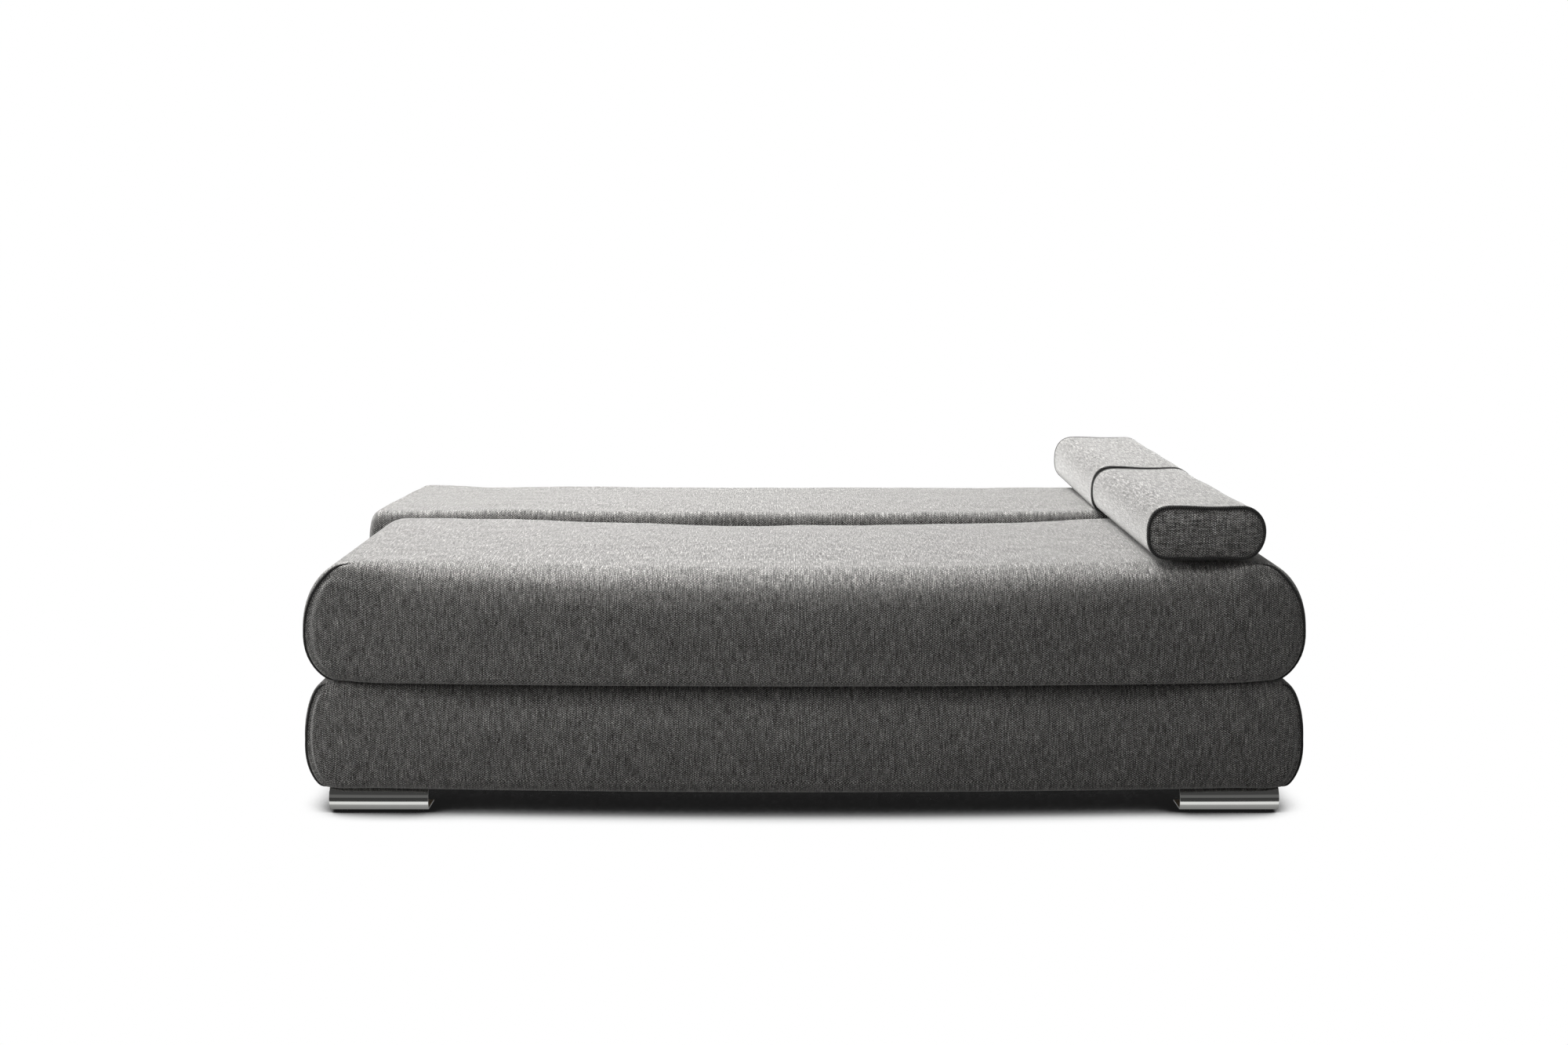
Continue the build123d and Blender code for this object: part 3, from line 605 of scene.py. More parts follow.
def make_base():
    """Upholstery of the base box as one ring: bowed padded front with four seams, bulging ends, plain rear."""
    half, depth = pad_high.x + 0.003, rear_high.y - FRONT
    bottom, top, wide = pad_low.z, pad_high.z, BASE_WIDE
    top_x = half - 0.050
    flat = spread(0, 1, 0.0158 / top_x, *[(s / top_x, 0.0035 / top_x) for s in BASE_SEAMS if s > 0])
    outline = Outline(half, bottom, wide, top + 0.002, 0.048, 0.050, flat, flat)
    x, z, nx, nz = outline.x, outline.z, outline.nx, outline.nz
    wide_x = np.abs(x)

    def set_back(across, height):
        return (0.004 + 0.005 * smooth((0.86 - np.abs(across)) / 0.15)) * smooth((height - 0.175) / 0.10)

    over, under = np.clip(nz, 0, 1) ** 2, np.clip(-nz, 0, 1) ** 4
    radius = 0.016 + over * (0.006 * smooth((1.02 - wide_x) / 0.05) + 0.014 * smooth((0.86 - wide_x) / 0.15))
    radius = radius + 0.010 * under * smooth((0.98 - wide_x) / 0.1)
    angle = np.degrees(np.arctan2(z - wide, wide_x - BASE_TURN))
    inset = np.interp(angle, BASE_SEAM_ANGLE, BASE_SEAM_INSET) / 1000
    seam = np.arcsin(np.clip(1 - inset / radius, 0.25, 0.97))
    seam = mix(math.radians(50), seam, smooth((wide_x - 0.94) / 0.04))
    piped = smooth((wide_x - 0.978) / 0.012)
    pipe_x, pipe_z = x[wide_x > BASE_PIPED], z[wide_x > BASE_PIPED]
    face = -bow_at(x, half, BOW) + 0.008 + set_back(x, z)
    face = face - CROWN * rise(distance_to(x, z, pipe_x, pipe_z), BASE_CROWN_WIDTH)
    rings, ring_v, seam_at, seam_way = piped_edge(x, z, nx, nz, face, radius, seam, VALLEY * piped)
    rear_r = 0.012
    for d in np.linspace(0.046, depth - rear_r - 0.02, 40):
        rings.append(np.stack([x, np.full_like(x, d), z], 1))
        ring_v.append(np.full_like(x, d))
    for phi in np.linspace(0, math.pi / 2, 6):
        inset = rear_r * (1 - math.cos(phi))
        d = depth - rear_r * (1 - math.sin(phi))
        rings.append(np.stack([x - nx * inset, np.full_like(x, d), z - nz * inset], 1))
        ring_v.append(np.full_like(x, depth - rear_r + rear_r * phi))
    rings, ring_v = np.array(rings), np.array(ring_v)

    def front_cap(grid):
        v = np.linspace(0, 1, len(grid))[:, None]
        gx = grid[..., 0]
        dist = distance_to(gx, grid[..., 2], pipe_x, pipe_z)
        seam_dip = sum(np.exp(-(((gx - s) / 0.0055) ** 2)) for s in BASE_SEAMS)
        wide_dip = sum(np.exp(-(((gx - s) / 0.035) ** 2)) for s in BASE_SEAMS)
        uneven = waves(gx, grid[..., 2] * 2, 31, low=0.3, high=0.9)
        out = -bow_at(gx, half, BOW) + 0.008 + set_back(gx, grid[..., 2])
        belly = np.sin(math.pi * v) ** 1.3 * (0.0040 + 0.0010 * uneven - 0.0012 * wide_dip) * rise(dist, 0.12)
        dip = 0.0028 * seam_dip * smooth(v / 0.1) * smooth((1 - v) / 0.1)
        push = dip - belly - CROWN * rise(dist, BASE_CROWN_WIDTH)
        grid[..., 1] = np.where(within(grid), out + push, grid[..., 1])
        return grid, weave_down(rings[0], ring_v[0], grid)

    def rear_cap(grid):
        v = np.linspace(0, 1, len(grid))[1:-1, None]
        grid[1:-1, 1:-1, 1] += 0.0015 * np.sin(math.pi * v) ** 2
        return grid, depth + top - grid[..., 2]

    def place(points):
        return np.stack([points[:, 0], FRONT + points[:, 1], points[:, 2]], 1)

    obj = soft_form("base_cover", outline, rings, ring_v, (front_cap, rear_cap), place)
    points = np.array([v.co for v in obj.data.vertices])
    free = off_seam(points, place(seam_at[wide_x > BASE_PIPED]))
    sewn = np.min([np.abs(points[:, 0] - line) for line in BASE_SEAMS], 0)
    free *= np.where(points[:, 1] < FRONT + 0.02, smooth((sewn - 0.005) / 0.05), 1.0)
    free *= smooth((top - 0.012 - points[:, 2]) / 0.04) * smooth((points[:, 2] - bottom - 0.006) / 0.04)
    swell(obj, np.clip(free, 0, 1), pressure=2.0, cap=0.005)

    welts = []
    for side_name, side in (("left", -1), ("right", 1)):
        keep = np.nonzero(side * x > BASE_PIPED - 0.001)[0].tolist()
        line, way = welt_line(outline, keep, side, (BASE_TURN, wide), seam_at, seam_way, 90)
        run = run_along(line)
        ends = np.minimum(smooth(run / 0.02), smooth((run[-1] - run) / 0.02))
        lift = 0.0002 - 0.004 * (1 - ends)
        welts.append(tube(f"base_welt_{side_name}", place(line + way * lift[:, None]), WELT_R))
    return obj, welts


# ---------------------------------------------------------------- bolsters
def make_bolster(name, seed, full, lean):
    """Loose bolster: flattened round section, squarer towards the bed's middle, with ends set in by a piped seam."""
    low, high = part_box(f"{name}_cover")
    middle, length = (low.x + high.x) / 2, high.y - low.y
    half, height = (high.x - low.x) / 2, high.z - low.z
    flat = np.linspace(0, 1, 13)
    outline = Outline(half, 0, height / 2, height, 0.048, 0.052, flat, flat,
                      arc=(13, 13), corner=(6, 6), square=(2.45, 2.05))
    x, z, nx, nz = outline.x, outline.z, outline.nx, outline.nz
    one = np.ones_like(x)
    radius, seam = 0.010 * one, math.radians(38) * one
    ends, end_v, seam_at, seam_way = piped_edge(x, z, nx, nz, 0.0015 * one, radius, seam, 0.0022 * one)
    straight = list(np.linspace(0.020, length - 0.020, 52))
    rings = ends + [np.stack([x, d * one, z], 1) for d in straight]
    rings += [ring * [1, -1, 1] + [0, length, 0] for ring in reversed(ends)]
    ring_v = end_v + [d * one for d in straight] + [length - v for v in reversed(end_v)]
    rings, ring_v = np.array(rings), np.array(ring_v)

    def soften(px, pd, pz):
        # fuller along the middle, slack near the ends, and a shallow hollow along the top
        body = smooth(np.minimum(pd, length - pd) / 0.10)
        upper = smooth((pz - 0.3 * height) / (0.7 * height))
        swell_up = mix(full[0], full[1], pd / length) + 0.0020 * body + 0.0018 * waves(pd, px, seed, low=0.16, high=0.5)
        hollow = 0.0022 * np.exp(-(((px - 0.01) / 0.05) ** 2))
        return upper * (swell_up - hollow)

    rings[..., 2] += soften(rings[..., 0], rings[..., 1], rings[..., 2])

    def end_cap(out):
        def cap(grid):
            dist = distance_to(grid[..., 0], grid[..., 2], ends[0][:, 0], ends[0][:, 2])
            crown = 0.0075 * rise(dist, 0.045) + 0.0012 * waves(grid[..., 0], grid[..., 2], seed + 9, 5, 0.08, 0.2)
            grid[..., 1] += np.where(within(grid), out * crown, 0.0)
            return grid, grid[..., 2]
        return cap

    def place(points):
        aside = mix(lean[0], lean[1], points[:, 1] / length)
        return np.stack([middle + aside + points[:, 0], low.y + points[:, 1], low.z + points[:, 2]], 1)

    obj = soft_form(f"{name}_body", outline, rings, ring_v, (end_cap(-1), end_cap(1)), place, around=True)
    points = np.array([v.co for v in obj.data.vertices])
    near_seam = np.minimum(points[:, 1] - low.y, high.y - points[:, 1])
    on_cap = distance_to(points[:, 0] - middle, points[:, 2] - low.z, x, z)
    free = rise(np.maximum(near_seam - 0.010, 0) + np.where(near_seam < 0.012, on_cap - 0.008, 0), 0.05, 1.5)
    free *= smooth((points[:, 2] - low.z - 0.010) / 0.03)
    swell(obj, np.clip(free, 0, 1), pressure=2.0, cap=0.004)

    welts = []
    for end_name, at_rear in (("front", False), ("rear", True)):
        line = seam_at.copy()
        line[:, 2] += soften(line[:, 0], line[:, 1] if not at_rear else length - line[:, 1], line[:, 2])
        wobble = 0.0008 * waves(outline.run[:-1], 0, seed + 3, low=0.06, high=0.25)
        path = line + seam_way * (0.0004 + wobble)[:, None]
        if at_rear:
            path = path * [1, -1, 1] + [0, length, 0]
        welts.append(tube(f"{name}_welt_{end_name}", place(path), BOLSTER_WELT_R, closed=True))
    return obj, welts


# ---------------------------------------------------------------- chromed feet
def make_foot(node):
    """Bent sheet foot with a bowed face, rounded edges and an open back, in place of the plain node."""
    low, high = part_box(node)
    sign, face = (1, low.y) if "front" in node else (-1, high.y)
    depth, sheet = high.y - low.y, 0.003
    z = np.linspace(low.z, high.z, 25)
    bulge = 0.028
    t = (z - bulge) / np.where(z > bulge, high.z - bulge, bulge - low.z)
    out = np.where(z > bulge, 0.011 * t**2, 0.006 * t**2)
    outer = [(o, h) for o, h in zip(out, z)] + [(depth, high.z), (depth, high.z - sheet)]
    slope = np.gradient(out, z)
    norm = np.sqrt(1 + slope**2)
    inner = [(o + sheet / n, h) for o, h, n in zip(out, z, norm) if low.z + sheet < h < high.z - sheet]
    inner = [(inner[0][0] - 0.0004, low.z + sheet)] + inner + [(inner[-1][0] + 0.0006, high.z - sheet)]
    section = outer + inner[::-1] + [(depth, low.z + sheet), (depth, low.z)]
    count = len(section)
    points = [(xx, face + sign * d, h) for xx in (low.x, high.x) for d, h in section]
    faces = [(i, (i + 1) % count, count + (i + 1) % count, count + i) for i in range(count)]
    faces += [range(start, start + count) for start in (0, count)]  # one face closes each end
    obj = outward(add_mesh(f"{node}_shell", points, faces, smooth_faces=False))
    bevel = obj.modifiers.new("bevel", "BEVEL")
    bevel.width, bevel.segments = 0.0006, 3
    bevel.limit_method, bevel.angle_limit = "ANGLE", math.radians(40)
    apply_modifiers(obj)
    mesh = obj.data
    mesh.polygons.foreach_set("use_smooth", [True] * len(mesh.polygons))
    mesh.set_sharp_from_angle(angle=math.radians(38))
    return obj


# ---------------------------------------------------------------- materials
class Shader:
    """Short way to write node trees."""

    def __init__(self, name, surface=True):
        self.material = bpy.data.materials.new(name)
        self.material.use_nodes = True
        self.tree = self.material.node_tree
        self.tree.nodes.clear()
        self.out = self.tree.nodes.new("ShaderNodeOutputMaterial")
        if surface:
            self.surface = self.tree.nodes.new("ShaderNodeBsdfPrincipled")
            self.tree.links.new(self.surface.outputs[0], self.out.inputs["Surface"])

    def put(self, socket, value):
        if isinstance(value, bpy.types.NodeSocket):
            self.tree.links.new(value, socket)
        elif value is not None:
            socket.default_value = value

    def node(self, kind, *values, output=0, **settings):
        made = self.tree.nodes.new(kind)
        named = settings.pop("inputs", {})
        for key, value in settings.items():
            setattr(made, key, value)
        for socket, value in zip(made.inputs, values):
            self.put(socket, value)
        for key, value in named.items():
            self.put(made.inputs[key], value)
        return made.outputs[output]

    def math(self, operation, *values, clamp=False):
        return self.node("ShaderNodeMath", *values, operation=operation, use_clamp=clamp)

    def ramp(self, low, high, value):
        """0 up to low, 1 from high on, smooth between."""
        return self.node("ShaderNodeMapRange", clamp=True, interpolation_type="SMOOTHSTEP",
                         inputs={"Value": value, "From Min": low, "From Max": high})

    def scaled(self, colour, factor):
        return self.node("ShaderNodeVectorMath", colour, operation="SCALE", inputs={"Scale": factor})

    def noise(self, vector, scale, detail=2.0, rough=0.5):
        return self.node("ShaderNodeTexNoise",
                         inputs={"Vector": vector, "Scale": scale, "Detail": detail, "Roughness": rough})

    def xyz(self, vector):
        made = self.tree.nodes.new("ShaderNodeSeparateXYZ")
        self.put(made.inputs[0], vector)
        return made.outputs[0], made.outputs[1], made.outputs[2]

    def vector(self, x, y, z=0.0):
        return self.node("ShaderNodeCombineXYZ", x, y, z)

    def bump(self, height, distance, strength):
        return self.node("ShaderNodeBump", inputs={"Height": height, "Distance": distance, "Strength": strength})

    def place(self):
        """The object's own coordinates."""
        return self.node("ShaderNodeTexCoord", output=3)

    def set(self, **values):
        for key, value in values.items():
            self.put(self.surface.inputs[key.replace("_", " ")], value)
        return self.material


def chenille(name, colour, contrast=0.94, sheen=0.42, mottle=0.08, relief=0.0004, felt=0.0):
    """Chenille weave drawn in the Weave UV: ribs along the cloth with dark gaps between their staggered tufts."""
    s = Shader(name)
    place = s.node("ShaderNodeUVMap", uv_map=WEAVE)
    wobble = s.node("ShaderNodeTexNoise", output=1, inputs={"Vector": place, "Scale": 45.0, "Detail": 2.0})
    wobble = s.node("ShaderNodeVectorMath", wobble, (0.5, 0.5, 0.5), operation="SUBTRACT")
    wobble = s.scaled(wobble, 0.0042)
    u, v, _ = s.xyz(s.node("ShaderNodeVectorMath", place, wobble, operation="ADD"))
    column = s.math("DIVIDE", u, RIB)
    number = s.math("FLOOR", column)
    across = s.math("FRACT", column)
    odd = s.math("MULTIPLY", s.math("FLOORED_MODULO", number, 2.0), 0.5)
    luck = s.node("ShaderNodeTexWhiteNoise", noise_dimensions="1D", inputs={"W": number})
    row = s.math("ADD", s.math("DIVIDE", v, TUFT), s.math("MULTIPLY_ADD", luck, 0.20, odd))
    down = s.math("FRACT", row)
    own = s.node("ShaderNodeTexWhiteNoise", noise_dimensions="2D",
                 inputs={"Vector": s.vector(number, s.math("FLOOR", row))})

    def noise_at(width, length, detail, rough=0.6):
        """Noise whose grain is width across the ribs and length along them."""
        return s.noise(s.vector(s.math("DIVIDE", u, width), s.math("DIVIDE", v, length)), 1.0, detail, rough)

    rib = s.math("SINE", s.math("MULTIPLY", across, math.pi))
    gap = s.math("ABSOLUTE", s.math("MULTIPLY_ADD", down, 2.0, -1.0))
    patch = s.ramp(0.40, 0.62, s.noise(place, 20.0, 3.0))
    dot = s.math("MULTIPLY", s.ramp(0.45, 0.90, gap), s.ramp(0.15, 0.80, rib))
    dot = s.math("MULTIPLY", dot, s.math("MULTIPLY_ADD", own, 0.6, 0.7))
    dot = s.math("MULTIPLY", dot, s.math("MULTIPLY_ADD", patch, 0.40, 0.72))
    line = s.math("SUBTRACT", 1.0, s.ramp(0.0, 0.60, rib))
    streak, fibre = noise_at(0.0024, 0.026, 2.0), noise_at(0.0024, 0.0060, 2.0)
    parts = (
        (streak, 2.1), (fibre, 2.1), (noise_at(0.0050, 0.050, 2.0), 1.1), (noise_at(0.011, 0.24, 2.0), 0.16),
        (own, 0.20), (noise_at(0.10, 0.13, 4.0, 0.55), mottle), (noise_at(0.036, 0.0042, 2.0), felt),
    )

    # brightness is added up as the eye sees it, and then turned into reflectance
    tone = s.math("MULTIPLY_ADD", dot, -2.2 * contrast, mix(1.0, 1.62, contrast))
    tone = s.math("MULTIPLY_ADD", line, -1.1 * contrast, tone)
    for part, size in parts:
        size *= contrast
        tone = s.math("ADD", tone, s.math("MULTIPLY_ADD", part, size, -0.5 * size))
    # painted sheen: on faces that look up, the tones part further. This stands in for a sheen that varies with the
    # weave, since the even sheen veils the weave there
    up = s.ramp(0.50, 0.98, s.xyz(s.node("ShaderNodeTexCoord", output=1))[2])
    tone = s.math("MULTIPLY_ADD", s.math("SUBTRACT", tone, 1.0), s.math("MULTIPLY_ADD", up, 0.50, 1.0), 1.0)
    value = s.math("MULTIPLY", s.math("POWER", s.math("MAXIMUM", tone, 0.12), 2.2), 0.75)
    pile = s.math("MULTIPLY_ADD", fibre, 0.6, s.math("MULTIPLY", line, -0.5))
    height = s.math("ADD", s.math("SUBTRACT", streak, dot), pile)
    return s.set(
        Base_Color=s.scaled(colour, value),
        Roughness=0.95,
        Specular_IOR_Level=0.15,
        Sheen_Weight=sheen,
        Sheen_Roughness=0.50,
        Sheen_Tint=(1.0, 0.99, 0.97, 1),
        Normal=s.bump(height, relief, 0.9),
    )


def plain(name, colour, roughness=0.6, metallic=0.0, grain=0.08, scale=60.0, bump=0.0003, **extra):
    """Mottled surface with fine relief: paint, plastic, rubber, zinc."""
    s = Shader(name)
    place = s.place()
    big, fine = s.noise(place, scale, 4.0), s.noise(place, scale * 14, 3.0)
    value = s.math("MULTIPLY_ADD", big, 2 * grain, 1 - grain)
    rough = s.math("MULTIPLY_ADD", fine, 0.16, roughness - 0.08, clamp=True)
    return s.set(Base_Color=s.scaled(colour, value), Metallic=metallic, Roughness=rough,
                 Normal=s.bump(fine, bump, 0.5), **extra)


def chrome():
    """Polished chrome with faint wipe marks."""
    s = Shader("chrome")
    place = s.place()
    x, y, z = s.xyz(place)
    stretched = (s.math("MULTIPLY", at, factor) for at, factor in ((x, 3.0), (y, 60.0), (z, 220.0)))
    drawn = s.noise(s.vector(*stretched), 1.0, 3.0)
    smear = s.noise(place, 24.0, 4.0, 0.6)
    rough = s.math("MULTIPLY_ADD", smear, 0.10, s.math("MULTIPLY_ADD", drawn, 0.05, 0.03))
    shade = s.math("MULTIPLY_ADD", smear, 0.08, 0.94)
    return s.set(Base_Color=s.scaled((0.68, 0.68, 0.66), shade), Metallic=1.0, Roughness=rough,
                 Normal=s.bump(drawn, 0.00003, 0.4))


def wood(name, light, dark, along):
    """Plank with long grain along one axis."""
    s = Shader(name)
    place = s.place()
    stretch = [42.0, 42.0, 42.0]
    stretch[along] = 2.2
    grain_at = s.node("ShaderNodeVectorMath", place, tuple(stretch), operation="MULTIPLY")
    bend = s.noise(grain_at, 0.35, 2.0)
    bent = s.node("ShaderNodeVectorMath", grain_at, s.scaled((1.0, 1.0, 1.0), bend), operation="ADD")
    rings = s.noise(bent, 1.0, 5.0, 0.62)
    pores = s.noise(s.node("ShaderNodeVectorMath", grain_at, (6.0, 6.0, 6.0), operation="MULTIPLY"), 1.0, 2.0)
    share = s.math("MULTIPLY_ADD", rings, 2.2, -0.6, clamp=True)
    ramp = s.node("ShaderNodeMix", data_type="RGBA", output=2, inputs={"Factor": share})
    for socket, tone in zip(ramp.node.inputs[6:8], (light, dark)):
        socket.default_value = (*tone, 1)
    colour = s.scaled(ramp, s.math("MULTIPLY_ADD", pores, 0.25, 0.87))
    return s.set(Base_Color=colour, Roughness=s.math("MULTIPLY_ADD", pores, 0.2, 0.5),
                 Normal=s.bump(rings, 0.0004, 0.5))


def chipboard(name, colour):
    """Pressed chips of several tones."""
    s = Shader(name)
    place = s.place()
    chips = s.node("ShaderNodeTexVoronoi", output=1, inputs={"Vector": place, "Scale": 260.0})
    tone = s.xyz(chips)[0]
    dust = s.noise(place, 500.0, 3.0)
    value = s.math("ADD", s.math("MULTIPLY_ADD", tone, 0.5, 0.70), s.math("MULTIPLY", dust, 0.12))
    return s.set(Base_Color=s.scaled(colour, value), Roughness=0.75, Normal=s.bump(tone, 0.0002, 0.4))


def nonwoven(name, colour):
    """Thin black lining felt with pressed dots."""
    s = Shader(name)
    place = s.place()
    dots = s.node("ShaderNodeTexVoronoi", inputs={"Vector": place, "Scale": 420.0, "Randomness": 0.15})
    felt = s.noise(place, 900.0, 3.0)
    value = s.math("ADD", s.math("MULTIPLY_ADD", dots, 0.7, 0.6), s.math("MULTIPLY", felt, 0.5))
    return s.set(Base_Color=s.scaled(colour, value), Roughness=0.92, Normal=s.bump(dots, 0.0003, 0.6))


def foam_stuff(name, colour):
    """Open-cell foam."""
    s = Shader(name)
    place = s.place()
    cells = s.node("ShaderNodeTexVoronoi", inputs={"Vector": place, "Scale": 700.0})
    cloud = s.noise(place, 9.0, 3.0)
    value = s.math("ADD", s.math("MULTIPLY_ADD", cells, 0.35, 0.70), s.math("MULTIPLY", cloud, 0.2))
    return s.set(Base_Color=s.scaled(colour, value), Roughness=0.9, Normal=s.bump(cells, 0.0008, 0.7))


FABRIC = (0.091, 0.089, 0.0855)
fabric = chenille("upholstery", FABRIC)
# the bolsters are of the same fabric, with the ribs running round them; this copy's colour is made lighter to paint the
# brighter light on their tops
bolster_fabric_painted_lighter = chenille("upholstery_across_painted_lighter", (0.108, 0.106, 0.102), contrast=0.95, sheen=0.52, felt=2.2)
welt_fabric = chenille("piping", (0.026, 0.0255, 0.025), contrast=0.5, sheen=0.20, mottle=0.04, relief=0.0003)
lining = nonwoven("lining", (0.022, 0.022, 0.023))
metal = chrome()
materials = {
    "upholstery": fabric,
    "piping": welt_fabric,
    "lining": lining,
    "chrome": metal,
    "foam": foam_stuff("foam", (0.80, 0.74, 0.55)),
    "softwood": wood("softwood", (0.66, 0.50, 0.31), (0.50, 0.33, 0.17), 0),
    "board": chipboard("board", (0.52, 0.38, 0.24)),
    "spring_steel": plain("spring_steel", (0.35, 0.35, 0.36), 0.38, 1.0),
    "black_steel": plain("black_steel", (0.030, 0.030, 0.032), 0.45, 0.0, bump=0.0001),
    "zinc": plain("zinc", (0.60, 0.60, 0.57), 0.36, 1.0, grain=0.15, scale=90.0),
    "glide_plastic": plain("glide_plastic", (0.020, 0.020, 0.020), 0.55),
    "rubber": plain("rubber", (0.025, 0.025, 0.025), 0.80, bump=0.0004),
}


def dress(obj, material):
    """Gives the piece one material, first in its list."""
    if obj.data.materials:
        obj.data.materials[0] = material
    else:
        obj.data.materials.append(material)


# ---------------------------------------------------------------- build the soft pieces
def finish_soft(obj, body, nodes, boxes=(), cover=fabric):
    dress(obj, cover)
    subdivide(obj)
    if boxes:
        obj.data.materials.append(lining)
        cut(obj, boxes, lining)
        obj.data.polygons.foreach_set("use_smooth", [True] * len(obj.data.polygons))
        obj.data.set_sharp_from_angle(angle=math.radians(50))
    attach(obj, body)
    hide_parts(*nodes)


def finish_welt(obj, body, nodes):
    dress(obj, welt_fabric)
    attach(obj, body)
    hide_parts(*nodes)


POCKET, POCKET_TOP = (0.884, 0.920), 0.436  # X from and to, and top, of the slots for the fixed brackets


def pocket_boxes(y0, y1, bottom):
    """Boxes of the two slots underneath a half that its fixed brackets stand in."""
    near, far = POCKET
    return [((x0, y0, bottom - 0.01), (x1, y1, POCKET_TOP)) for x0, x1 in ((-far, -near), (near, far))]


seat_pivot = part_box("seat_bracket_left")
back_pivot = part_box("back_bracket_left")
seat_pivot_y = (seat_pivot[0].y + seat_pivot[1].y) / 2
back_pivot_y = (back_pivot[0].y + back_pivot[1].y) / 2

seat, seat_welts = make_half("seat_cushion", seat_low, seat_high, 1, BOW, 0.018, 11,
                             0.004, (0.077, 0.104), 2.0, (0.062, 0.120, 0.038))
finish_soft(seat, "seat", ["seat_cover", "seat_foam"],
            pocket_boxes(seat_pivot_y - 0.030, seat_high.y + 0.02, seat_low.z))
for welt, side in zip(seat_welts, ("left", "right")):
    finish_welt(welt, "seat", [f"seat_piping_{side}"])

back, back_welts = make_half("back_cushion", back_low, back_high, -1, 0.0, 0.003, 23,
                             0.018, (0.060, 0.050), 3.6, (0.030, 0.120, 0.016))
finish_soft(back, "back", ["back_cover", "back_foam"],
            pocket_boxes(back_low.y - 0.02, back_pivot_y + 0.030, back_low.z))
for welt, side in zip(back_welts, ("left", "right")):
    finish_welt(welt, "back", [f"back_piping_{side}"])

base, base_welts = make_base()
board_x, board_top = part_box("base_end_board_right")[1].x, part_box("base_front_board")[1].z
inside_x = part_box("base_end_board_right")[0].x
front_board, rear_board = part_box("base_front_board"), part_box("base_rear_board")
finish_soft(base, "base", ["base_front_pad", "base_rear_pad", "base_end_pad_left", "base_end_pad_right"], [
    ((-board_x, front_board[0].y, 0.0), (board_x, rear_board[1].y, board_top + 0.0004)),
    ((-inside_x, front_board[1].y, 0.0), (inside_x, rear_board[0].y, board_top + 0.05)),
])
for welt, side in zip(base_welts, ("left", "right")):
    finish_welt(welt, "base", [f"base_piping_{side}"])

for name, seed, full, lean in (
    ("bolster_front", 41, (0.0, -0.004), (0.0, -0.004)),
    ("bolster_rear", 47, (0.0060, 0.0065), (-0.006, 0.0)),
):
    body, welts = make_bolster(name, seed, full, lean)
    finish_soft(body, name, [f"{name}_cover", f"{name}_foam"], cover=bolster_fabric_painted_lighter)
    for welt in welts:
        finish_welt(welt, name, [f"{name}_piping"])

for row in ("front", "rear"):
    for side in ("left", "right"):
        node = f"foot_{row}_{side}"
        shell = make_foot(node)
        dress(shell, metal)
        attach(shell, "base")
        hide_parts(node)

# ---------------------------------------------------------------- materials of the nodes that stay
SLOT_OF = {
    "lining": "lining", "frame": "softwood", "board": "board", "panel": "board", "springs": "spring_steel",
    "bracket": "black_steel", "plate": "black_steel", "screws": "zinc", "pins": "zinc", "pawls": "zinc",
    "glides": "glide_plastic", "buffers": "rubber", "caps": "rubber", "leg": "black_steel", "crossbar": "black_steel",
}
for name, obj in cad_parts.items():
    words = name.split("_")
    slot = next((SLOT_OF[w] for w in reversed(words) if w in SLOT_OF), None)
    if slot and not obj.hide_render:
        obj.data.materials.clear()
        obj.data.materials.append(materials[slot])

# ---------------------------------------------------------------- floor, light, camera
def floor_material():
    """Pale floor: white to the camera, and grey to other rays. It carries a painted close shadow of the object, where
    ambient occlusion darkens its glow.

    In gloss it glows as a painted reflection: a strip round the base that starts dim, brightens and ends dark, for the
    feet to mirror.
    """
    s = Shader("floor", surface=False)
    # painted shadow: ambient occlusion darkens the floor's white glow near the object, in place of a shadow cast by the
    # lamps
    near = s.node("ShaderNodeAmbientOcclusion", output=1, samples=24, inputs={"Distance": 0.12})
    shade = s.node("ShaderNodeMapRange", clamp=True, interpolation_type="SMOOTHSTEP",
                   inputs={"Value": near, "From Min": 0.30, "From Max": 0.76})
    path = s.node("ShaderNodeLightPath").node
    x, y, _ = s.xyz(s.node("ShaderNodeNewGeometry"))
    away = s.math("MAXIMUM", *(s.math("SUBTRACT", s.math("ABSOLUTE", at), half) for at, half in ((x, 1.02), (y, 0.66))))
    # painted reflection: glossy rays see the floor glow as a strip round the base, first dim, then bright, then dark
    strip = 0.22
    for start, end, step in ((0.0, 0.030, 0.20), (0.028, 0.037, 0.60), (0.062, 0.090, -0.96)):
        strip = s.math("MULTIPLY_ADD", s.ramp(start, end, away), step, strip)
    shade = s.math("MAXIMUM", shade, 0.010)
    shade = s.math("MULTIPLY_ADD", s.math("SUBTRACT", strip, shade), path.outputs["Is Glossy Ray"], shade)
    white = s.node("ShaderNodeEmission", inputs={"Color": s.scaled((1.0, 1.0, 1.0), shade), "Strength": 1.0})
    matte = s.node("ShaderNodeBsdfDiffuse", inputs={"Color": (0.30, 0.30, 0.30, 1)})
    seen = s.math("ADD", path.outputs["Is Camera Ray"], path.outputs["Is Glossy Ray"], clamp=True)
    seen = s.math("ADD", seen, path.outputs["Is Transmission Ray"], clamp=True)
    s.put(s.out.inputs["Surface"], s.node("ShaderNodeMixShader", seen, matte, white))
    return s.material


reach = 40.0
floor_corners = [(x, y, 0) for x, y in ((-reach, -reach), (reach, -reach), (reach, reach), (-reach, reach))]
floor = add_mesh("floor", floor_corners, [(0, 1, 2, 3)], smooth_faces=False)
floor.data.materials.append(floor_material())


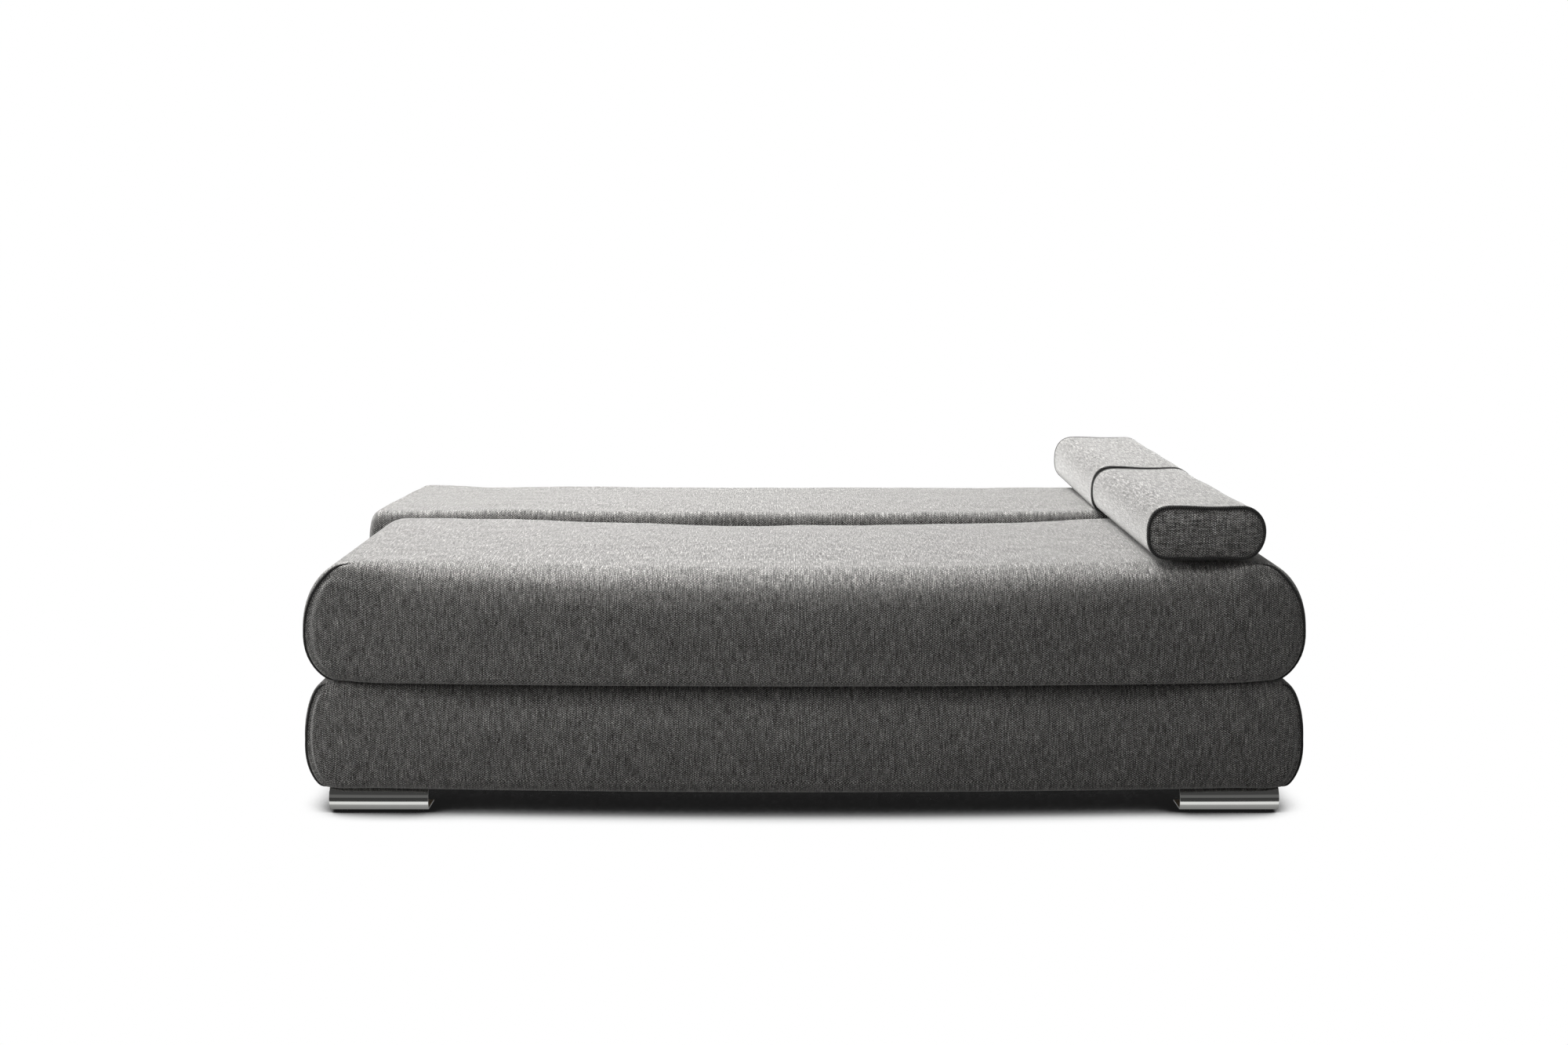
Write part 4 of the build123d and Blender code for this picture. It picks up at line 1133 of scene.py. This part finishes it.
def studio():
    """White to the camera, dim white as light, and in gloss a dark room that is paler some way above the floor."""
    world = bpy.data.worlds.new("studio")
    world.use_nodes = True
    s = Shader.__new__(Shader)
    s.tree = world.node_tree
    s.tree.nodes.clear()
    path = s.node("ShaderNodeLightPath").node
    height = s.xyz(s.node("ShaderNodeTexCoord"))[2]
    room = s.math("MULTIPLY_ADD", s.ramp(0.08, 0.16, height), 0.11, 0.055)
    room = s.math("MULTIPLY_ADD", s.ramp(0.36, 0.50, height), -0.095, room)
    soft, white, gloss = (s.node("ShaderNodeBackground", (1, 1, 1, 1), strength) for strength in (0.20, 1.0, room))
    both = s.node("ShaderNodeMixShader", path.outputs["Is Glossy Ray"], soft, gloss)
    both = s.node("ShaderNodeMixShader", path.outputs["Is Camera Ray"], both, white)
    s.put(s.tree.nodes.new("ShaderNodeOutputWorld").inputs["Surface"], both)
    return world


scene.world = studio()


def lamp(name, place, aim, size, power, glossy=True):
    data = bpy.data.lights.new(name, "AREA")
    data.shape, data.size, data.size_y, data.energy = "RECTANGLE", size[0], size[1], power
    obj = bpy.data.objects.new(name, data)
    obj.visible_glossy = glossy
    obj.location = place
    obj.rotation_euler = (Vector(aim) - Vector(place)).to_track_quat("-Z", "Y").to_euler()
    scene.collection.objects.link(obj)


lamp("sky", (-0.9, -0.3, 3.6), (-0.4, -0.3, 0.4), (4.0, 1.6), 254)
lamp("rear", (-0.2, 1.3, 2.4), (0.0, 0.6, 0.5), (3.2, 0.8), 90)
lamp("left", (-4.0, -0.3, 2.6), (-0.3, 0.0, 0.4), (2.0, 2.0), 84)
lamp("front_left", (-3.0, -4.0, 4.0), (0.0, -0.5, 0.3), (3.0, 3.0), 40, glossy=False)

camera = bpy.data.objects.new("camera", bpy.data.cameras.new("camera"))
scene.collection.objects.link(camera)
camera.location = (-0.042, -4.648, 1.197)
camera.rotation_euler = (math.radians(81.683), 0.0, 0.0)
camera.data.lens, camera.data.sensor_width = 45.06, 36.0
camera.data.clip_end = 200.0
scene.camera = camera
scene.view_settings.view_transform = "Standard"
